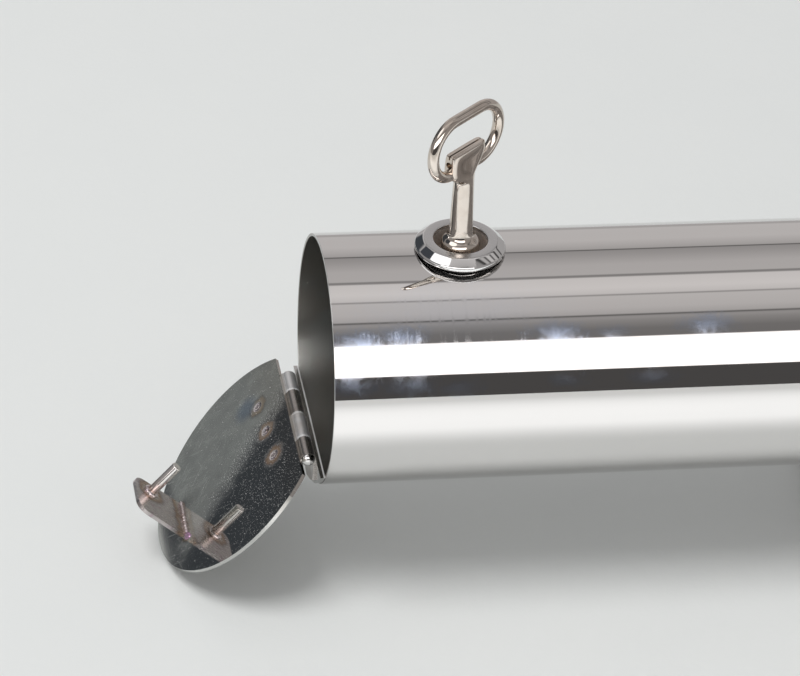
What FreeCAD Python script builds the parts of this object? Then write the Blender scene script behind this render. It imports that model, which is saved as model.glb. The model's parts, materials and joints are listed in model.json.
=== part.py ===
"""Tubular donation box: polished tube, hinged emptying flap, key lock and stand-off wall bracket.

Millimetres. The origin is the middle of the wall plate's back face, +X runs along the tube from the
flap to the coin slot, and +Z points away from the wall, towards the lock.
"""
import FreeCAD, Part
import os
import Sketcher
from FreeCAD import Placement, Rotation, Vector

# Driving dimensions, each one settable by itself; angles are in degrees
SIZES = [
    # Tube and its end cap
    ("tube_diameter", 76.1),
    ("tube_wall", 1.0),
    ("tube_length", 440.0),
    ("cap_thickness", 2.0),
    ("cap_bevel", 0.6),
    ("slot_length", 50.0),
    ("slot_width", 6.0),
    # Wall bracket
    ("standoff_gap", 30.6),
    ("plate_length", 120.0),
    ("plate_width", 120.0),
    ("plate_thickness", 4.0),
    ("plate_corner", 8.0),
    ("plate_setback", 166.0),
    ("hole_diameter", 9.0),
    ("hole_inset_along", 15.0),
    ("hole_inset_across", 12.0),
    ("post_diameter", 22.0),
    ("post_inset", 25.0),
    # Flap, fixed segment and hinge
    ("flap_thickness", 1.2),
    ("flap_inset", 0.35),
    ("closing_gap", 0.3),
    ("hinge_rise", 15.45),
    ("chord_gap", 1.0),
    ("open_angle", 140.3),
    ("hinge_width", 43.6),
    ("hinge_shift", 1.2),
    ("knuckle_pitch", 12.4),
    ("leaf_thickness", 0.8),
    ("leaf_depth", 13.0),
    ("leaf_trim", 0.6),
    ("knuckle_diameter", 4.5),
    ("hinge_pin_diameter", 2.9),
    ("pin_head_diameter", 4.2),
    ("pin_head_height", 1.5),
    ("pin_head_round", 1.4),
    ("pin_clearance", 0.05),
    ("knuckle_clearance", 0.2),
    ("hinge_clearance", 0.25),
    # Latch tongue on the flap
    ("tongue_inset", 11.25),
    ("tongue_width", 17.0),
    ("tongue_shift", 1.7),
    ("tongue_height", 19.5),
    ("tongue_thickness", 1.2),
    ("tongue_corner", 4.0),
    ("latch_pin_diameter", 3.0),
    ("latch_pin_length", 12.2),
    ("latch_pin_height", 13.2),
    ("latch_pin_shift", 2.4),
    ("latch_pin_chamfer", 0.3),
    ("weld_leg", 1.6),
    ("spot_diameter", 4.0),
    ("spot_spacing", 13.8),
    ("spot_shift", 3.0),
    ("spot_skew", 1.0),
    ("spot_setback", 10.0),
    ("spot_height", 0.25),
    # Lock housing and its fastening in the tube wall
    ("flange_diameter", 27.4),
    ("flange_top_diameter", 22.4),
    ("flange_rim", 1.2),
    ("flange_bevel", 2.0),
    ("gasket_diameter", 25.0),
    ("gasket_thickness", 0.5),
    ("recess_diameter", 16.4),
    ("recess_depth", 12.0),
    ("housing_diameter", 22.0),
    ("housing_length", 20.5),
    ("housing_clearance", 0.25),
    ("saddle_depth", 5.0),
    ("saddle_diameter", 30.0),
    ("nut_flats", 28.0),
    ("nut_thickness", 6.0),
    ("fit_clearance", 0.05),
    # Lock spindle and hook cam
    ("spindle_diameter", 10.0),
    ("collar_diameter", 14.0),
    ("collar_thickness", 2.0),
    ("axial_clearance", 0.2),
    ("drive_corner", 9.2),
    ("drive_height", 6.0),
    ("drive_clearance", 0.3),
    ("square_size", 7.0),
    ("cam_gap", 1.8),
    ("cam_thickness", 2.5),
    ("cam_hub_diameter", 16.0),
    ("cam_width", 14.0),
    ("cam_clearance", 0.62),
    ("hook_clearance", 0.4),
    ("hook_lip", 2.1),
    ("hook_sweep", 45.0),
    ("washer_diameter", 14.0),
    ("washer_thickness", 1.2),
    ("screw_diameter", 5.0),
    ("screw_grip", 8.0),
    ("screw_head_flats", 8.0),
    ("screw_head_height", 3.5),
    # Key
    ("key_turn", 41.0),
    ("key_lean", 1.3),
    ("key_pivot", 4.0),
    ("bell_diameter", 11.8),
    ("bell_top", 0.6),
    ("bell_round", 1.2),
    ("stem_base_diameter", 7.0),
    ("stem_top_diameter", 6.0),
    ("stem_flat", 0.4),
    ("bell_flare", 0.9),
    ("fan_base", 22.0),
    ("fan_waist_width", 10.0),
    ("fan_wall", 0.9),
    ("fan_shoulder", 29.4),
    ("fan_shoulder_thickness", 4.2),
    ("fan_top", 32.0),
    ("fan_top_width", 15.0),
    ("fan_top_thickness", 3.2),
    ("fan_groove_width", 0.5),
    ("fan_groove_depth", 1.2),
    ("ring_length", 33.7),
    ("ring_height", 21.7),
    ("ring_wire", 3.5),
    ("ring_bar_height", 25.1),
]

# Dimensions that follow from the driving ones; z values ending in _level are below the lock's top face
DERIVED = [
    ("tube_radius", "Sizes.tube_diameter / 2"),
    ("bore_radius", "tube_radius - Sizes.tube_wall"),
    ("bore_diameter", "2 * bore_radius"),
    ("axis_z", "Sizes.standoff_gap + tube_radius"),
    ("mouth_x", "-Sizes.plate_length / 2 - Sizes.plate_setback"),
    ("cap_x", "mouth_x + Sizes.tube_length"),
    ("plate_half_length", "Sizes.plate_length / 2"),
    ("plate_half_width", "Sizes.plate_width / 2"),
    ("hole_x", "plate_half_length - Sizes.hole_inset_along"),
    ("hole_y", "plate_half_width - Sizes.hole_inset_across"),
    ("post_x", "plate_half_length - Sizes.post_inset"),
    ("post_reach", "axis_z - Sizes.plate_thickness"),
    ("post_saddle_diameter", "Sizes.tube_diameter + 2 * Sizes.fit_clearance"),
    ("trim_span", "2 * Sizes.tube_diameter"),
    # Hinge and flap, measured from the hinge axis with the flap closed
    ("hinge_drop", "tube_radius - Sizes.hinge_rise"),
    ("knuckle_radius", "Sizes.knuckle_diameter / 2"),
    ("leaf_seat", "knuckle_radius + Sizes.hinge_clearance"),
    ("leaf_front", "leaf_seat - Sizes.leaf_thickness"),
    ("flap_face", "leaf_seat + Sizes.flap_thickness"),
    ("segment_thickness", "Sizes.flap_thickness + Sizes.closing_gap"),
    ("hinge_offset", "leaf_seat + segment_thickness"),
    ("hinge_x", "mouth_x - hinge_offset"),
    ("hinge_z", "axis_z - hinge_drop"),
    ("half_chord_gap", "Sizes.chord_gap / 2"),
    ("segment_chord", "hinge_drop + half_chord_gap"),
    ("flap_diameter", "Sizes.tube_diameter - 2 * Sizes.flap_inset"),
    ("leaf_trim_diameter", "Sizes.tube_diameter - 2 * Sizes.leaf_trim"),
    ("knuckle_bore", "Sizes.hinge_pin_diameter + 2 * Sizes.pin_clearance"),
    ("notch_depth", "knuckle_radius + Sizes.hinge_clearance"),
    ("half_knuckle_gap", "Sizes.knuckle_clearance / 2"),
    ("knuckle_low", "Sizes.knuckle_pitch - half_knuckle_gap"),
    ("knuckle_high", "Sizes.knuckle_pitch + half_knuckle_gap"),
    ("hinge_end", "Sizes.hinge_width / 2 + half_knuckle_gap"),
    ("pin_radius", "Sizes.hinge_pin_diameter / 2"),
    ("pin_head_radius", "Sizes.pin_head_diameter / 2"),
    ("pin_tip", "hinge_end + Sizes.pin_head_height"),
    ("tongue_half_width", "Sizes.tongue_width / 2"),
    ("tongue_rise", "hinge_drop + tube_radius - Sizes.tongue_inset"),
    ("tongue_front", "tongue_rise - Sizes.tongue_thickness / 2"),
    ("tongue_top", "flap_face + Sizes.tongue_height"),
    ("latch_pin_x", "flap_face + Sizes.latch_pin_height"),
    ("latch_pin_side", "Sizes.latch_pin_shift + Sizes.tongue_shift"),
    ("latch_pin_end", "tongue_front - Sizes.latch_pin_length"),
    ("latch_pin_whole", "Sizes.latch_pin_length + Sizes.tongue_thickness"),
    ("latch_pin_hole", "Sizes.latch_pin_diameter + 2 * Sizes.fit_clearance"),
    ("weld_toe_x", "flap_face + Sizes.weld_leg"),
    ("weld_toe_z", "tongue_front - Sizes.weld_leg"),
    ("spot_z", "half_chord_gap + Sizes.spot_setback"),
    ("spot_low_z", "spot_z - Sizes.spot_skew"),
    ("spot_high_z", "spot_z + Sizes.spot_skew"),
    # Hook cam, which is as long as the bore lets it swing, and the lock that it sets from the mouth
    ("cam_rise", "tube_radius + Sizes.gasket_thickness - Sizes.housing_length - Sizes.cam_gap"),
    ("cam_tip", "sqrt(bore_radius ^ 2 - cam_rise ^ 2) - Sizes.cam_clearance"),
    ("hook_slot_width", "Sizes.latch_pin_diameter + 2 * Sizes.hook_clearance"),
    ("hook_outer", "cam_tip - Sizes.hook_lip"),
    ("hook_inner", "hook_outer - hook_slot_width"),
    ("hook_radius", "hook_outer - hook_slot_width / 2"),
    ("cam_tip_diameter", "2 * cam_tip"),
    ("cam_trim_span", "2 * cam_tip"),
    ("lock_setback", "hook_radius + Sizes.latch_pin_height - Sizes.closing_gap"),
    # Lock, measured down from the top face of its flange
    ("lock_x", "mouth_x + lock_setback"),
    ("key_x", "lock_x - Sizes.key_pivot * sin(Sizes.key_lean)"),
    ("lock_hole_diameter", "Sizes.housing_diameter + 2 * Sizes.housing_clearance"),
    ("gasket_z", "axis_z + tube_radius"),
    ("flange_height", "Sizes.flange_rim + Sizes.flange_bevel"),
    ("lock_top_z", "gasket_z + Sizes.gasket_thickness + flange_height"),
    ("flange_radius", "Sizes.flange_diameter / 2"),
    ("flange_top_radius", "Sizes.flange_top_diameter / 2"),
    ("recess_radius", "Sizes.recess_diameter / 2"),
    ("housing_radius", "Sizes.housing_diameter / 2"),
    ("housing_level", "flange_height + Sizes.housing_length"),
    ("bearing_radius", "Sizes.spindle_diameter / 2 + Sizes.fit_clearance"),
    ("saddle_flat", "bore_radius - Sizes.saddle_depth"),
    ("saddle_trim_diameter", "bore_diameter - 2 * Sizes.fit_clearance"),
    ("nut_base", "saddle_flat - Sizes.nut_thickness"),
    ("nut_corner", "Sizes.nut_flats / cos(30)"),
    ("nut_bore", "Sizes.housing_diameter + 2 * Sizes.fit_clearance"),
    ("spindle_radius", "Sizes.spindle_diameter / 2"),
    ("collar_radius", "Sizes.collar_diameter / 2"),
    ("collar_level", "Sizes.recess_depth - Sizes.axial_clearance"),
    ("drive_level", "collar_level - Sizes.collar_thickness"),
    ("shoulder_level", "housing_level + Sizes.cam_gap"),
    ("half_square", "Sizes.square_size / 2"),
    ("shank_length", "Sizes.cam_thickness - Sizes.axial_clearance"),
    ("shank_level", "shoulder_level + shank_length"),
    ("screw_bore", "Sizes.screw_diameter + 2 * Sizes.fit_clearance"),
    ("cam_level", "shoulder_level + Sizes.cam_thickness"),
    ("cam_half_width", "Sizes.cam_width / 2"),
    ("half_square_hole", "half_square + Sizes.fit_clearance"),
    ("washer_level", "cam_level + Sizes.washer_thickness"),
    ("screw_head_corner", "Sizes.screw_head_flats / cos(30)"),
    ("screw_length", "Sizes.screw_grip + shank_length + Sizes.washer_thickness"),
    ("screw_hole_depth", "Sizes.screw_grip + shank_length + Sizes.fit_clearance"),
    # Key, measured up from the top face of the flange
    ("bell_radius", "Sizes.bell_diameter / 2"),
    ("bell_level", "drive_level - Sizes.drive_clearance"),
    ("bell_height", "bell_level + Sizes.bell_top"),
    # A triangle's corners move out twice as far as its sides
    ("socket_corner", "Sizes.drive_corner + 2 * 2 * Sizes.drive_clearance"),
    ("socket_depth", "Sizes.drive_height + Sizes.drive_clearance"),
    ("stem_base_width", "Sizes.stem_base_diameter + Sizes.stem_flat"),
    ("stem_top_width", "Sizes.stem_top_diameter + Sizes.stem_flat"),
    ("ring_hole", "Sizes.ring_wire + 2 * Sizes.fit_clearance"),
    ("fan_waist_thickness", "ring_hole + 2 * Sizes.fan_wall"),
    ("fan_groove_half", "Sizes.fan_groove_width / 2"),
    ("fan_groove_floor", "Sizes.fan_top - Sizes.fan_groove_depth"),
    ("ring_bend", "(Sizes.ring_height - Sizes.ring_wire) / 2"),
    ("ring_straight", "(Sizes.ring_length - Sizes.ring_wire) / 2 - ring_bend"),
    ("ring_top", "Sizes.ring_bar_height + 2 * ring_bend"),
    ("ring_middle", "Sizes.ring_bar_height + ring_bend"),
]

UP = Vector(0, 0, 1)
ORIGIN_POINT = (-1, 1)
SKETCH_AXIS = {"horizontal": -1, "vertical": -2}
SIDES = {"triangle": 3, "hexagon": 6}
TOLERANCE = 1e-4

doc = FreeCAD.newDocument("donation_tube")
subparts = []


def fill_sheet(name, rows):
    """Write one row of alias and content per dimension and return the sheet."""
    sheet = doc.addObject("Spreadsheet::Sheet", name)
    for row, (alias, content) in enumerate(rows, 1):
        sheet.set(f"A{row}", alias)
        sheet.set(f"B{row}", content)
        sheet.setAlias(f"B{row}", alias)
    return sheet


sizes = fill_sheet("Sizes", [(alias, str(number)) for alias, number in SIZES])
derived = fill_sheet("Derived", [(alias, "=" + formula) for alias, formula in DERIVED])
doc.recompute()
DRIVING_NAMES = {alias for alias, number in SIZES}


def value(name):
    """Number of a dimension; a leading minus negates it and "0" is zero."""
    if name == "0":
        return 0.0
    if name.startswith("-"):
        return -value(name[1:])
    sheet = sizes if name in DRIVING_NAMES else derived
    return float(sheet.get(name))


def ref(name):
    """Expression that binds a property to a dimension."""
    if name.startswith("-"):
        return "-" + ref(name[1:])
    sheet = "Sizes" if name in DRIVING_NAMES else "Derived"
    return f"{sheet}.{name}"


def new_body(label):
    """Start a sub-part whose label names its file."""
    body = doc.addObject("PartDesign::Body", label)
    body.Label = label
    body.AllowCompound = True
    subparts.append(body)
    return body


def place(body, x="0", y="0", z="0"):
    """Bind the sub-part's position to dimensions."""
    for axis, name in (("x", x), ("y", y), ("z", z)):
        if name != "0":
            body.setExpression(f"Placement.Base.{axis}", ref(name))


def place_on_hinge(body, shift="0"):
    """Swing a piece drawn with the flap closed to the open flap, moved along the hinge."""
    body.Placement = Placement(Vector(), Rotation(Vector(0, -1, 0), value("open_angle")))
    body.setExpression("Placement.Rotation.Angle", ref("open_angle"))
    place(body, "hinge_x", shift, "hinge_z")


def place_key(body):
    """Stand a key piece in the lock, turned and leaning as it is left there."""
    lean = f"create(<<rotation>>; create(<<vector>>; 0; 1; 0); {ref('-key_lean')})"
    turn = f"create(<<rotation>>; create(<<vector>>; 0; 0; 1); {ref('key_turn')})"
    where = f"create(<<vector>>; {ref('key_x')}; 0; {ref('lock_top_z')})"
    body.setExpression("Placement", f"create(<<placement>>; {where}; {lean} * {turn})")


def sketch_on(body, role, offset="0", turn="0"):
    """Sketch on one of the body's own origin planes, moved along and turned about its normal."""
    sketch = body.newObject("Sketcher::SketchObject", "Sketch")
    plane = next(item for item in body.Origin.OriginFeatures if item.Role == role)
    sketch.AttachmentSupport = [(plane, "")]
    sketch.MapMode = "FlatFace"
    if turn != "0":
        sketch.AttachmentOffset = Placement(Vector(), Rotation(UP, value(turn)))
        sketch.setExpression("AttachmentOffset.Rotation.Angle", ref(turn))
    if offset != "0":
        sketch.setExpression("AttachmentOffset.Base.z", ref(offset))
    return sketch


def bind(sketch, kind, where, name):
    """Add a dimensional constraint and tie it to a dimension."""
    index = sketch.addConstraint(Sketcher.Constraint(kind, *where, value(name)))
    sketch.setExpression(f"Constraints[{index}]", ref(name))


def fix_point(sketch, geometry, point, x, y):
    """Hold a sketch point at named coordinates."""
    if x == "0":
        sketch.addConstraint(Sketcher.Constraint("PointOnObject", geometry, point, SKETCH_AXIS["vertical"]))
    else:
        bind(sketch, "DistanceX", (*ORIGIN_POINT, geometry, point), x)
    if y == "0":
        sketch.addConstraint(Sketcher.Constraint("PointOnObject", geometry, point, SKETCH_AXIS["horizontal"]))
    else:
        bind(sketch, "DistanceY", (*ORIGIN_POINT, geometry, point), y)


def circle(sketch, diameter, x="0", y="0"):
    """Dimensioned circle about a named point."""
    centre = Vector(value(x), value(y), 0)
    round_edge = sketch.addGeometry(Part.Circle(centre, UP, value(diameter) / 2))
    fix_point(sketch, round_edge, 3, x, y)
    bind(sketch, "Diameter", (round_edge,), diameter)


def outline(sketch, corners):
    """Closed outline of straight lines through named corners."""
    points = [Vector(value(x), value(y), 0) for x, y in corners]
    following = points[1:] + points[:1]
    lines = [sketch.addGeometry(Part.LineSegment(a, b)) for a, b in zip(points, following)]
    for index, line in enumerate(lines):
        sketch.addConstraint(Sketcher.Constraint("Coincident", lines[index - 1], 2, line, 1))
        fix_point(sketch, line, 1, *corners[index])


def rectangle(sketch, left, right, low, high):
    """Rectangle between named sides."""
    outline(sketch, [(left, low), (right, low), (right, high), (left, high)])


def polygon(sketch, kind, corner_diameter):
    """Regular polygon about the origin, sized across its corners, with one corner on the first axis."""
    sides = SIDES[kind]
    radius = value(corner_diameter) / 2
    turns = [Rotation(UP, 360.0 * index / sides) for index in range(sides)]
    points = [turn.multVec(Vector(radius, 0, 0)) for turn in turns]
    rim = sketch.addGeometry(Part.Circle(Vector(), UP, radius), True)
    fix_point(sketch, rim, 3, "0", "0")
    bind(sketch, "Diameter", (rim,), corner_diameter)
    following = points[1:] + points[:1]
    lines = [sketch.addGeometry(Part.LineSegment(a, b)) for a, b in zip(points, following)]
    for index, line in enumerate(lines):
        sketch.addConstraint(Sketcher.Constraint("Coincident", lines[index - 1], 2, line, 1))
        sketch.addConstraint(Sketcher.Constraint("PointOnObject", line, 1, rim))
    for line in lines[1:]:
        sketch.addConstraint(Sketcher.Constraint("Equal", lines[0], line))
    sketch.addConstraint(Sketcher.Constraint("PointOnObject", lines[0], 1, SKETCH_AXIS["horizontal"]))


def round_slot(sketch, length, width):
    """Slot with round ends about the origin, long along the first axis."""
    end_radius = value(width) / 2
    reach = value(length) / 2 - end_radius
    right = Vector(reach, 0, 0)
    side = Vector(0, end_radius, 0)
    nose = Vector(reach + end_radius, 0, 0)
    right_end = sketch.addGeometry(Part.Arc(right - side, nose, right + side))
    top = sketch.addGeometry(Part.LineSegment(right + side, side - right))
    left_end = sketch.addGeometry(Part.Arc(side - right, -nose, -right - side))
    bottom = sketch.addGeometry(Part.LineSegment(-right - side, right - side))
    for first, second in ((right_end, top), (top, left_end), (left_end, bottom), (bottom, right_end)):
        sketch.addConstraint(Sketcher.Constraint("Tangent", first, 2, second, 1))
    sketch.addConstraint(Sketcher.Constraint("Equal", right_end, left_end))
    bind(sketch, "Diameter", (right_end,), width)
    for arc, sign in ((right_end, ""), (left_end, "-")):
        sketch.addConstraint(Sketcher.Constraint("PointOnObject", arc, 3, SKETCH_AXIS["horizontal"]))
        distance = reach if sign == "" else -reach
        index = sketch.addConstraint(Sketcher.Constraint("DistanceX", *ORIGIN_POINT, arc, 3, distance))
        sketch.setExpression(f"Constraints[{index}]", f"{sign}({ref(length)} - {ref(width)}) / 2")


def pad(body, sketch, length, symmetric=False, backwards=False):
    """Raise a sketch into a solid."""
    feature = body.newObject("PartDesign::Pad", "Pad")
    feature.Profile = sketch
    feature.setExpression("Length", ref(length))
    feature.SideType = "Symmetric" if symmetric else "One side"
    feature.Reversed = backwards
    return feature


def cut(body, sketch, length=None, symmetric=False, forwards=False):
    """Pocket a sketch to a depth, or through everything where none is given."""
    doc.recompute()
    before = body.Shape.Volume
    feature = body.newObject("PartDesign::Pocket", "Pocket")
    feature.Profile = sketch
    if length is None:
        feature.Type = "ThroughAll"
    else:
        feature.setExpression("Length", ref(length))
    feature.SideType = "Symmetric" if symmetric else "One side"
    feature.Reversed = forwards
    doc.recompute()
    require_less(body, before)


def require_less(body, before):
    """Stop where a cut pointed away from the solid."""
    if not body.Shape.Volume < before:
        raise RuntimeError(f"{body.Label}: a cut removed nothing")


def revolve(body, sketch):
    """Turn a profile about the sketch's vertical axis."""
    feature = body.newObject("PartDesign::Revolution", "Revolution")
    feature.Profile = sketch
    feature.ReferenceAxis = (sketch, ["V_Axis"])
    return feature


def loft(body, sections):
    """Blend from the first section through the others."""
    feature = body.newObject("PartDesign::AdditiveLoft", "Loft")
    feature.Profile = sections[0]
    feature.Sections = sections[1:]


def dress(body, kind, size_property, size, chosen):
    """Fillet or chamfer the edges that a test picks."""
    doc.recompute()
    base = body.Tip
    names = [f"Edge{index}" for index, edge in enumerate(base.Shape.Edges, 1) if chosen(edge)]
    feature = body.newObject(f"PartDesign::{kind}", kind)
    feature.Base = (base, names)
    feature.setExpression(size_property, ref(size))


def round_edges(body, radius, chosen):
    dress(body, "Fillet", "Radius", radius, chosen)


def bevel_edges(body, size, chosen):
    dress(body, "Chamfer", "Size", size, chosen)


def is_line_along(edge, direction):
    """True for a straight edge parallel to a direction."""
    if not isinstance(edge.Curve, Part.Line):
        return False
    return edge.Curve.Direction.cross(direction).Length < TOLERANCE


def is_circle(edge, radius):
    """True for a round edge of a radius."""
    return isinstance(edge.Curve, Part.Circle) and abs(edge.Curve.Radius - radius) < TOLERANCE


def lies_at(edge, level):
    """True for an edge that lies flat at a named height."""
    return edge.BoundBox.ZLength < TOLERANCE and abs(edge.BoundBox.ZMin - value(level)) < TOLERANCE


def make_tube():
    """Round tube with the lock's hole through its upper wall."""
    body = new_body("tube")
    ring = sketch_on(body, "YZ_Plane")
    circle(ring, "tube_diameter")
    circle(ring, "bore_diameter")
    pad(body, ring, "tube_length")
    lock_hole = sketch_on(body, "XY_Plane")
    circle(lock_hole, "lock_hole_diameter", "lock_setback")
    cut(body, lock_hole, forwards=True)
    place(body, "mouth_x", "0", "axis_z")


def make_slot_cap():
    """End disc with the coin slot."""
    body = new_body("slot_cap")
    disc = sketch_on(body, "YZ_Plane")
    circle(disc, "tube_diameter")
    pad(body, disc, "cap_thickness")
    front = value("cap_thickness") - TOLERANCE
    rim = value("tube_radius")
    bevel_edges(body, "cap_bevel", lambda edge: is_circle(edge, rim) and edge.BoundBox.XMin > front)
    slot = sketch_on(body, "YZ_Plane")
    round_slot(slot, "slot_length", "slot_width")
    cut(body, slot, forwards=True)
    place(body, "cap_x", "0", "axis_z")


def make_wall_plate():
    """Flat plate that is bolted to the wall, with a screw hole near each corner."""
    body = new_body("wall_plate")
    blank = sketch_on(body, "XY_Plane")
    rectangle(blank, "-plate_half_length", "plate_half_length", "-plate_half_width", "plate_half_width")
    pad(body, blank, "plate_thickness")
    round_edges(body, "plate_corner", lambda edge: is_line_along(edge, UP))
    holes = sketch_on(body, "XY_Plane")
    for x in ("-hole_x", "hole_x"):
        for y in ("-hole_y", "hole_y"):
            circle(holes, "hole_diameter", x, y)
    cut(body, holes, forwards=True)


def make_post(label, x):
    """Stand-off post, coped to the underside of the tube."""
    body = new_body(label)
    bar = sketch_on(body, "XY_Plane")
    circle(bar, "post_diameter")
    pad(body, bar, "post_reach")
    cope = sketch_on(body, "YZ_Plane")
    circle(cope, "post_saddle_diameter", "0", "post_reach")
    cut(body, cope, symmetric=True)
    place(body, x, "0", "plate_thickness")


def make_hinge_segment():
    """Fixed plate that closes the mouth below the hinge."""
    body = new_body("hinge_segment")
    disc = sketch_on(body, "YZ_Plane")
    circle(disc, "flap_diameter")
    pad(body, disc, "segment_thickness", backwards=True)
    above = sketch_on(body, "YZ_Plane")
    rectangle(above, "-tube_radius", "tube_radius", "-segment_chord", "tube_radius")
    cut(body, above)
    place(body, "mouth_x", "0", "axis_z")


def make_flap():
    """Round flap with a straight edge along the hinge."""
    body = new_body("flap")
    disc = sketch_on(body, "YZ_Plane", "leaf_seat")
    circle(disc, "flap_diameter", "0", "hinge_drop")
    pad(body, disc, "flap_thickness")
    below = sketch_on(body, "YZ_Plane", "leaf_seat")
    rectangle(below, "-tube_radius", "tube_radius", "-tube_radius", "half_chord_gap")
    cut(body, below, forwards=True)
    place_on_hinge(body)


def make_leaf(label, edge, notches):
    """Hinge leaf with its rolled knuckles; edge is where the leaf ends, notches let the other leaf in."""
    body = new_body(label)
    strip = sketch_on(body, "XZ_Plane")
    rectangle(strip, "leaf_front", "leaf_seat", "0", edge)
    pad(body, strip, "hinge_width", symmetric=True)
    barrel = sketch_on(body, "XZ_Plane")
    circle(barrel, "knuckle_diameter")
    pad(body, barrel, "hinge_width", symmetric=True)
    bore = sketch_on(body, "XZ_Plane")
    circle(bore, "knuckle_bore")
    cut(body, bore, symmetric=True)
    gaps = sketch_on(body, "YZ_Plane")
    for start, end in notches:
        rectangle(gaps, start, end, "-notch_depth", "notch_depth")
    cut(body, gaps, symmetric=True)
    return body


def make_fixed_leaf():
    """Leaf on the fixed segment, trimmed to stay inside the tube's outline."""
    notches = [("-knuckle_high", "half_knuckle_gap"), ("knuckle_low", "hinge_end")]
    body = make_leaf("fixed_leaf", "-leaf_depth", notches)
    trim = sketch_on(body, "YZ_Plane")
    rectangle(trim, "-trim_span", "trim_span", "-trim_span", "trim_span")
    circle(trim, "leaf_trim_diameter", "0", "hinge_drop")
    cut(body, trim, symmetric=True)
    place(body, "hinge_x", "hinge_shift", "hinge_z")


def make_flap_leaf():
    """Leaf on the outer face of the flap."""
    notches = [("-hinge_end", "-knuckle_low"), ("-half_knuckle_gap", "knuckle_high")]
    body = make_leaf("flap_leaf", "leaf_depth", notches)
    place_on_hinge(body, "hinge_shift")


def make_hinge_pin():
    """Hinge pin with a domed head at each end."""
    body = new_body("hinge_pin")
    half = sketch_on(body, "XY_Plane")
    outline(half, [
        ("0", "-pin_tip"), ("pin_head_radius", "-pin_tip"), ("pin_head_radius", "-hinge_end"),
        ("pin_radius", "-hinge_end"), ("pin_radius", "hinge_end"), ("pin_head_radius", "hinge_end"),
        ("pin_head_radius", "pin_tip"), ("0", "pin_tip"),
    ])
    revolve(body, half)
    head = value("pin_head_radius")
    tip = value("pin_tip") - TOLERANCE
    round_edges(body, "pin_head_round", lambda edge: is_circle(edge, head) and abs(edge.BoundBox.YMin) > tip)
    place(body, "hinge_x", "hinge_shift", "hinge_z")


def make_latch_tongue():
    """Upright plate on the flap's inner face, with a hole for the latch pin."""
    body = new_body("latch_tongue")
    blank = sketch_on(body, "XY_Plane", "tongue_front")
    rectangle(blank, "flap_face", "tongue_top", "-tongue_half_width", "tongue_half_width")
    pad(body, blank, "tongue_thickness")
    top = value("tongue_top") - TOLERANCE
    round_edges(body, "tongue_corner", lambda edge: is_line_along(edge, UP) and edge.BoundBox.XMin > top)
    hole = sketch_on(body, "XY_Plane", "tongue_front")
    circle(hole, "latch_pin_hole", "latch_pin_x", "latch_pin_side")
    cut(body, hole, forwards=True)
    place_on_hinge(body, "-tongue_shift")


def make_latch_pin():
    """Pin through the tongue that the lock's hook draws in."""
    body = new_body("latch_pin")
    rod = sketch_on(body, "XY_Plane", "latch_pin_end")
    circle(rod, "latch_pin_diameter", "latch_pin_x", "latch_pin_shift")
    pad(body, rod, "latch_pin_whole")
    tip = value("latch_pin_end") + TOLERANCE
    bevel_edges(body, "latch_pin_chamfer", lambda edge: edge.BoundBox.ZMax < tip)
    place_on_hinge(body)


def make_tongue_weld():
    """Fillet weld along the foot of the tongue."""
    body = new_body("tongue_weld")
    bead = sketch_on(body, "XZ_Plane")
    outline(bead, [
        ("flap_face", "tongue_front"), ("flap_face", "weld_toe_z"), ("weld_toe_x", "tongue_front"),
    ])
    pad(body, bead, "tongue_width", symmetric=True)
    place_on_hinge(body, "-tongue_shift")


def make_spot_welds():
    """Low weld spots that show on the flap where its leaf is fixed."""
    body = new_body("leaf_spot_welds")
    spots = sketch_on(body, "YZ_Plane", "flap_face")
    for y, z in (("-spot_spacing", "spot_low_z"), ("0", "spot_z"), ("spot_spacing", "spot_high_z")):
        circle(spots, "spot_diameter", y, z)
    pad(body, spots, "spot_height")
    place_on_hinge(body, "spot_shift")


def make_lock_housing():
    """Lock housing with a bevelled flange, a key recess and a bearing for the spindle."""
    body = new_body("lock_housing")
    half = sketch_on(body, "XZ_Plane")
    outline(half, [
        ("bearing_radius", "-recess_depth"), ("recess_radius", "-recess_depth"), ("recess_radius", "0"),
        ("flange_top_radius", "0"), ("flange_radius", "-flange_bevel"), ("flange_radius", "-flange_height"),
        ("housing_radius", "-flange_height"), ("housing_radius", "-housing_level"),
        ("bearing_radius", "-housing_level"),
    ])
    revolve(body, half)
    place(body, "lock_x", "0", "lock_top_z")


def make_lock_gasket():
    """Flat sealing ring between the flange and the tube's crown."""
    body = new_body("lock_gasket")
    ring = sketch_on(body, "XY_Plane")
    circle(ring, "gasket_diameter")
    circle(ring, "lock_hole_diameter")
    pad(body, ring, "gasket_thickness")
    place(body, "lock_x", "0", "gasket_z")


def make_lock_saddle():
    """Spacer that gives the nut a flat seat under the round wall."""
    body = new_body("lock_saddle")
    ring = sketch_on(body, "XY_Plane", "saddle_flat")
    circle(ring, "saddle_diameter")
    circle(ring, "lock_hole_diameter")
    pad(body, ring, "saddle_depth")
    outside = sketch_on(body, "YZ_Plane")
    rectangle(outside, "-trim_span", "trim_span", "-trim_span", "trim_span")
    circle(outside, "saddle_trim_diameter")
    cut(body, outside, symmetric=True)
    place(body, "lock_x", "0", "axis_z")


def make_lock_nut():
    """Hexagon nut that draws the lock against the tube."""
    body = new_body("lock_nut")
    ring = sketch_on(body, "XY_Plane", "nut_base")
    polygon(ring, "hexagon", "nut_corner")
    circle(ring, "nut_bore")
    pad(body, ring, "nut_thickness")
    place(body, "lock_x", "0", "axis_z")


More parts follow.
